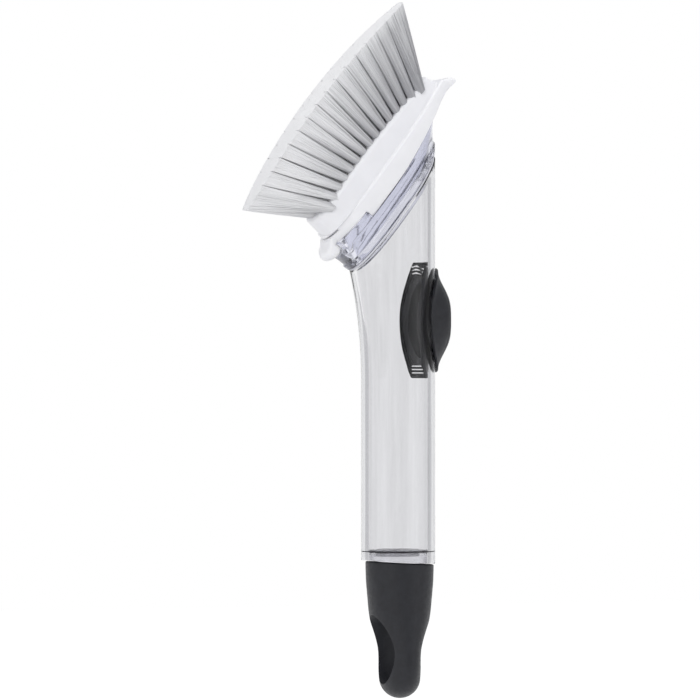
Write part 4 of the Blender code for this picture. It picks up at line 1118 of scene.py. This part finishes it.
def make_retainer():
    low = VALVE_HIGH + GAP
    high = low + RETAINER_THICKNESS
    outer = VALVE_SEAT_RADIUS - GAP
    inner = VALVE_BILL_RADIUS + GAP
    rings = [valve_circle(radius, height, VALVE_ROUND)
             for radius, height in ((outer, low), (outer, high), (inner, high), (inner, low))]
    retainer = piece("retainer_disc", rings, wrap=True, place=HEAD_PLACE)
    soften(retainer)
    settle(retainer, "handle", "retainer_plastic", RETAINER_WHITE, "valve_retainer")


# Refill

def plate_rings():
    """The refill's section: skirt, rounded front edge, soap hole and the recess for the boss."""
    edge = plan_ring(FLANGE, skirt_edge)
    recess_edge = plan_ring(BOSS, skirt_edge, -GAP)
    rings = [edge, plan_ring(FLANGE, flange_side)]
    for turn in quarter_turns(PLATE_EDGE_RINGS)[1:]:
        rings.append([(x, y, flange_side(x) + FLANGE_FRONT_EDGE * sin(turn))
                      for x, y in plan_points(FLANGE, FLANGE_FRONT_EDGE * (1 - cos(turn)))])
    return rings + [
        valve_circle(SOAP_HOLE_RADIUS, FLANGE_FRONT),
        valve_circle(SOAP_HOLE_RADIUS, RECESS_TOP),
        plan_ring(BOSS, RECESS_TOP, -GAP),
        recess_edge,
        [(x, y, skirt_edge(x)) for x, y, _ in ring_between(recess_edge, edge, SCRAPER_LAP_SHARE, 0.0)],
    ]


def make_plate():
    plate = piece("plate_shell", plate_rings(), wrap=True, place=HEAD_PLACE)
    soften(plate)
    side = FLANGE_HALF_WIDTH + CUT_OVERRUN
    far_end = -(TAB_CENTRE + TAB_RADIUS + CUT_OVERRUN)
    cut(plate, box_skin("notch", (far_end, -side, SHOULDER_HEIGHT / 2),
                        (-NOTCH_START, side, NOTCH_HEIGHT), HEAD_PLACE))
    cut(plate, pull_tab(), 'UNION')
    slit_low = RECESS_TOP + SLIT_LAND
    cut(plate, box_skin("slit", (far_end, -side, slit_low),
                        (-SLIT_START, side, slit_low + SLIT_WIDTH), HEAD_PLACE))
    weld(plate)
    settle(plate, "refill", "refill_plastic", REFILL_WHITE, "refill_plate")


def pull_tab():
    """A tongue from the skirt's lower end that rolls down into a bead for the thumb."""
    top = RECESS_TOP + SLIT_LAND - GAP
    low = top - TAB_NECK_THICKNESS
    root = -BOSS[0] - 2 * GAP
    height = low - TAB_NECK_RISE
    start = asin(TAB_NECK_RISE / TAB_RADIUS)
    rings = []
    for place in shares(TAB_RINGS):
        share = -cos(pi * place)
        y = share * TAB_HALF_WIDTH
        centre = -TAB_CENTRE + TAB_BOW * share ** 2
        taper = max(0.0, abs(share) - (1 - TAB_END_LENGTH)) / TAB_END_LENGTH
        radius = TAB_RADIUS * mix(1.0, TAB_END_SHARE, taper)
        turns = [mix(start, -3 * pi / 2, part) for part in shares(TAB_SIDES)]
        bead = [(centre + radius * cos(turn), y, height + radius * sin(turn)) for turn in turns]
        rings.append([(root, y, low)] + bead + [(centre + TAB_RADIUS, y, top), (root, y, top)])
    return skin("tab", rings, place=HEAD_PLACE)


def block_face(x):
    return BLOCK_CROWN_HEIGHT - (x - BLOCK_CROWN_PLACE) ** 2 / (2 * BLOCK_CROWN_RADIUS)


def block_rings():
    """A soft foot, drafted sides with a round edge and a crowned face."""
    rings = []
    for turn in quarter_turns(BLOCK_FOOT_RINGS):
        rings.append([(x, y, FLANGE_FRONT + BLOCK_FOOT * (1 - cos(turn)) - BLOCK_SINK)
                      for x, y in plan_points(BLOCK, -BLOCK_FOOT * (1 - sin(turn)))])
    for turn in quarter_turns(BLOCK_EDGE_RINGS):
        rings.append([(x, y, block_face(x) - BLOCK_ROUND_EDGE * (1 - sin(turn)))
                      for x, y in plan_points(BLOCK, BLOCK_DRAFT + BLOCK_ROUND_EDGE * (1 - cos(turn)))])
    last = rings[-1]
    for share in BLOCK_FACE_SHARES:
        places = ((BLOCK_CENTRE + (x - BLOCK_CENTRE) * share, y * share) for x, y, _ in last)
        rings.append([(x, y, block_face(x)) for x, y in places])
    return rings + [[(BLOCK_CENTRE, 0.0, block_face(BLOCK_CENTRE))]]


def make_block():
    block = piece("tuft_block", block_rings(), place=HEAD_PLACE)
    hole = [valve_circle(BLOCK_SOAP_HOLE_RADIUS, height, HOLE_ROUND)
            for height in (FLANGE_FRONT - CUT_OVERRUN / 4, BLOCK_CROWN_HEIGHT + CUT_OVERRUN)]
    cut(block, skin("hole", hole, place=HEAD_PLACE))
    weld(block)
    settle(block, "refill", "refill_plastic", BLOCK_WHITE, *ROW_NODES)


# Tufts

def block_rounding(share):
    """How much of the block's length is left at a share of its width, and the other way about."""
    return (1 - min(1.0, share) ** BLOCK_ROUNDNESS) ** (1 / BLOCK_ROUNDNESS)


def half_length_at(y, inset=0.0):
    return (BLOCK_HALF_LENGTH - inset) * block_rounding(abs(y) / (BLOCK_HALF_WIDTH - inset))


def block_surface(x, y):
    """Height of the block's rounded top at a point."""
    along = half_length_at(y) - abs(x - BLOCK_CENTRE)
    across = BLOCK_HALF_WIDTH * block_rounding(abs(x - BLOCK_CENTRE) / BLOCK_HALF_LENGTH) - abs(y)
    inside = max(0.0, min(along, across))
    short = clamp(BLOCK_ROUND_EDGE + BLOCK_DRAFT - inside, 0.0, BLOCK_ROUND_EDGE)
    return block_face(x) - BLOCK_ROUND_EDGE + sqrt(BLOCK_ROUND_EDGE ** 2 - short ** 2)


def tuft_places(row):
    y = (row + 0.5) * ROW_PITCH
    reach = half_length_at(y, TUFT_INSET)
    shift = TUFT_PITCH / 2 if row % 2 else 0.0
    most = int(2 * BLOCK_HALF_LENGTH / TUFT_PITCH)
    clear = BLOCK_SOAP_HOLE_RADIUS + TUFT_ROOT_RADIUS / 2
    places = [k * TUFT_PITCH + shift for k in range(-most, most)]
    return [(VALVE_PLACE + place, y) for place in places
            if abs(place) <= reach and sqrt(place ** 2 + y ** 2) > clear]


def trim_height(x):
    """Height of the cut tips, which bow up a little towards the middle of the head."""
    share = clamp((x - TRIM_PLACE) / (FAN_LENGTH_SHARE * BLOCK_HALF_LENGTH), -1.0)
    bow = TRIM_BOW * (1 - share ** 2) * (1 + share) + TRIM_TILT * share
    return TRIM_HEIGHT + bow - (x - TRIM_PLACE) ** 2 / (2 * TRIM_RADIUS)


def trim_narrowing(x):
    """How much of the tips' width is left at a place along the trim, whose ends are narrow."""
    share = min(1.0, abs(x) / TRIM_HALF_LENGTH)
    return mix(TRIM_END_SHARE, 1.0, sqrt(1 - share ** 2))


def faces_gap(tuft, along):
    """Whether this side of the tuft faces the soap hole, whose missing tuft it fans over."""
    place = tuft[0] - VALVE_PLACE
    return tuft[1] < ROW_PITCH and abs(place) < 1.5 * TUFT_PITCH and place * along < 0


def filament_root(tuft, along, across):
    """A place in the tuft's round hole, for a place in a square from -1 to 1."""
    root = Vector((tuft[0] + TUFT_ROOT_RADIUS * along * sqrt(1 - across ** 2 / 2),
                   tuft[1] + TUFT_ROOT_RADIUS * across * sqrt(1 - along ** 2 / 2), 0.0))
    root.z = block_surface(root.x, root.y) - TUFT_ROOT_DEPTH
    return root


def filament_tip(tuft, ends, along, across):
    """A place on the trim, in the cell of it that the tuft fills."""
    reach = TUFT_PITCH / 2 * (TUFT_REACH_SHARE if tuft[1] > 2 * ROW_PITCH else 1.0)
    if along > 0 and ends[1] or along < 0 and ends[0]:
        reach = max(reach, TRIM_HALF_LENGTH - abs(tuft[0] - BLOCK_CENTRE))
    if faces_gap(tuft, along):
        reach = GAP_REACH_SHARE * TUFT_PITCH
    place = clamp(tuft[0] - BLOCK_CENTRE + along * reach, -TRIM_HALF_LENGTH, TRIM_HALF_LENGTH)
    x = FAN_CENTRE + FAN_LENGTH_SHARE * (BLOCK_CENTRE + place - FAN_CENTRE)
    y = FAN_WIDTH_SHARE * (tuft[1] + across * ROW_PITCH / 2) * trim_narrowing(place)
    return Vector((x, y, trim_height(x) - abs(random.gauss(0.0, TIP_JITTER))))


def add_filament(shape, root, tip, bow, turn, levels, side):
    """A thin closed rod through levels, each a share of its length and a level of painted light and shade
    with random tone.
    """
    points, faces, shades = shape
    first = len(points)
    for share, shade in levels:
        middle = root.lerp(tip, share) + bow * sin(pi * share)
        radius = FILAMENT_RADIUS * mix(1.0, TIP_SWELL, share)
        for corner in angles(FILAMENT_SIDES):
            points.append((middle.x + radius * cos(corner + turn),
                           side * (middle.y + radius * sin(corner + turn)), middle.z))
            shades.append(shade)
    last = len(points) - FILAMENT_SIDES
    for low in range(first, last, FILAMENT_SIDES):
        high = low + FILAMENT_SIDES
        for k in range(FILAMENT_SIDES):
            after = (k + 1) % FILAMENT_SIDES
            faces.append((low + k, low + after, high + after, high + k)[::side])
    faces.append(tuple(range(first, first + FILAMENT_SIDES))[::-side])
    faces.append(tuple(range(last, last + FILAMENT_SIDES))[::side])


def grow_tuft(shape, tuft, side, ends):
    """Filaments that leave one round hole together and fan out to fill their share of the trim."""
    place = (tuft[0] - BLOCK_CENTRE) / (2 * BLOCK_HALF_LENGTH) + 0.5
    # Painted light and shade along the head: lighter at the low end, darker at the top end
    shade = mix(LOW_END_PAINTED_LIGHT, HIGH_END_PAINTED_SHADE, place)
    # Painted shade at the root, painted light near the tip and on the cut tip
    painted_light_levels = (shade - ROOT_PAINTED_SHADE_DROP, shade, shade + FRINGE_PAINTED_LIGHT_RISE, TIP_PAINTED_LIGHT)
    beside_gap = faces_gap(tuft, VALVE_PLACE - tuft[0])
    offsets = (random.random(), random.random())
    tuft_tone = random.gauss(0.0, TUFT_TONE_SPREAD)
    for number in range(FILAMENTS_PER_TUFT * (GAP_TUFT_TIMES if beside_gap else 1)):
        along, across = (2 * ((offset + number * step + random.gauss(0.0, EVEN_JITTER)) % 1.0) - 1
                         for offset, step in zip(offsets, EVEN_STEPS))
        root = filament_root(tuft, along, across)
        tip = filament_tip(tuft, ends, along, across)
        bow = Vector((random.gauss(0.0, FILAMENT_BOW), random.gauss(0.0, FILAMENT_BOW), 0.0))
        tone_and_painted_shade = random.gauss(tuft_tone, FILAMENT_TONE_SPREAD)
        # Painted shade on the tuft's flanks and painted light on its core, added to the random tone
        tone_and_painted_shade += TUFT_PAINTED_ROUNDING_SHADE * (TUFT_PAINTED_ROUNDING_LEVEL - along ** 2)
        turn = random.uniform(0.0, 2 * pi)
        levels = [(share, level + tone_and_painted_shade * (1.0 - share ** TONE_AND_SHADE_FADE_POWER))
                  for share, level in zip(PAINTED_SHADE_PLACES, painted_light_levels)]
        add_filament(shape, root, tip, bow, turn, levels, side)


def make_tufts():
    for number, node in enumerate(ROW_NODES):
        across = number - ROW_COUNT // 2
        row = across if across >= 0 else -across - 1
        side = 1 if across >= 0 else -1
        shape = ([], [], [])
        places = tuft_places(row)
        for tuft in places:
            grow_tuft(shape, tuft, side, (tuft == places[0], tuft == places[-1]))
        name = "tufts_row_" + str(number + 1)
        data = bpy.data.meshes.new(name)
        data.from_pydata(shape[0], [], shape[1])
        data.transform(HEAD_PLACE)
        # The shade attribute carries the painted light and shade of each filament, together with its
        # random tone
        shade = data.attributes.new("shade", 'FLOAT', 'POINT')
        shade.data.foreach_set("value", shape[2])
        settle(in_scene(name, data), "refill", "bristle_nylon", NYLON, node)


# Stage, light and camera

def make_stage():
    """A white floor that melts into the white behind it, low enough for the pulled stopper."""
    top = -GRIP_END_DEPTH - CAP_TRAVEL - FLOOR_GAP
    floor = in_scene("floor", box_skin("floor", (-FLOOR_REACH, -FLOOR_REACH, top - FLOOR_THICKNESS),
                                       (FLOOR_REACH, FLOOR_REACH, top)))
    mat, shader = new_material("floor_white", (FLOOR_SHADE, FLOOR_SHADE, FLOOR_SHADE), 0.95,
                                    Specular_IOR_Level=0.0)
    seen = any_ray(mat, "Is Camera Ray", "Is Transmission Ray", "Is Glossy Ray")
    glow = add_node(mat, "ShaderNodeEmission", Color=WHITE,
                    Strength=maths(mat, 'MULTIPLY', seen, FLOOR_GLOW))
    dark = add_node(mat, "ShaderNodeEmission", Strength=0.0)
    dimmed = mixed_shader(mat, maths(mat, 'MULTIPLY', seen, FLOOR_DIMMING),
                          shader.outputs["BSDF"], dark.outputs["Emission"])
    both = add_node(mat, "ShaderNodeAddShader")
    link(mat, dimmed, both.inputs[0])
    link(mat, glow.outputs["Emission"], both.inputs[1])
    link(mat, both.outputs["Shader"], mat.node_tree.nodes["Material Output"].inputs["Surface"])
    floor.data.materials.append(mat)


def studio_colour(world):
    """What clear and glossy parts see round them, from the shades by degrees."""
    place = add_node(world, "ShaderNodeTexCoord").outputs["Generated"]
    ahead, aside = (maths(world, 'DOT_PRODUCT', place, direction, "ShaderNodeVectorMath")
                    for direction in ((sin(VIEW_TURN), cos(VIEW_TURN), 0.0),
                                      (cos(VIEW_TURN), -sin(VIEW_TURN), 0.0)))
    around = add_node(world, "ShaderNodeMapRange", Value=maths(world, 'ARCTAN2', aside, ahead),
                      From_Min=-pi, From_Max=pi)
    ramp = add_node(world, "ShaderNodeValToRGB", Fac=around.outputs["Result"])
    stops = ramp.color_ramp.elements
    for degrees, shade in STUDIO_SHADES:
        position = (degrees + 180) / 360
        stop = stops[0] if degrees == -180 else stops[-1] if degrees == 180 else stops.new(position)
        stop.color = (*(min(1.0, shade * part) for part in STUDIO_TINT), 1.0)
    return ramp.outputs["Color"]


def make_world():
    """White behind the object, plain light on it, and greyer sides for the clear parts to show."""
    world = bpy.context.scene.world or bpy.data.worlds.new("studio")
    bpy.context.scene.world = world
    world.use_nodes = True
    world.node_tree.nodes.clear()
    light = add_node(world, "ShaderNodeBackground", Color=WORLD_COLOUR, Strength=WORLD_LIGHT)
    around = add_node(world, "ShaderNodeBackground", Color=studio_colour(world))
    white = add_node(world, "ShaderNodeBackground", Color=WHITE)
    lit = mixed_shader(world, any_ray(world, "Is Glossy Ray", "Is Transmission Ray"),
                       light.outputs["Background"], around.outputs["Background"])
    seen = mixed_shader(world, any_ray(world, "Is Camera Ray"), lit, white.outputs["Background"])
    add_node(world, "ShaderNodeOutputWorld", Surface=seen)


def make_lamps():
    for name, place, size, power in LAMPS:
        data = bpy.data.lights.new(name, 'AREA')
        data.shape = 'RECTANGLE'
        data.size, data.size_y = size
        data.energy = power
        lamp = in_scene(name, data)
        lamp.location = place
        lamp.rotation_euler = (Vector(LAMP_AIM) - Vector(place)).to_track_quat('-Z', 'Y').to_euler()


def make_camera():
    back = Vector((-sin(VIEW_TURN), -cos(VIEW_TURN), 0.0))
    data = bpy.data.cameras.new("camera")
    data.sensor_width = SENSOR_WIDTH
    data.lens = SENSOR_WIDTH * CAMERA_DISTANCE / VIEW_WIDTH
    data.clip_end = CAMERA_REACH
    camera = in_scene("camera", data)
    camera.location = Vector(VIEW_AIM) + back * CAMERA_DISTANCE
    camera.rotation_euler = (-back).to_track_quat('-Z', 'Y').to_euler()
    bpy.context.scene.camera = camera


bpy.context.scene.view_settings.view_transform = 'Standard'
bpy.context.scene.cycles.max_bounces = 32
bpy.context.scene.cycles.transmission_bounces = 28
bpy.context.scene.cycles.glossy_bounces = 12
for make in (make_world, make_stage, make_camera, make_lamps, make_grip, make_core, make_seal, make_tube,
             make_rim, make_pad, make_diaphragm, make_gasket, make_carrier, make_valve, make_retainer,
             make_plate, make_block, make_tufts):
    make()
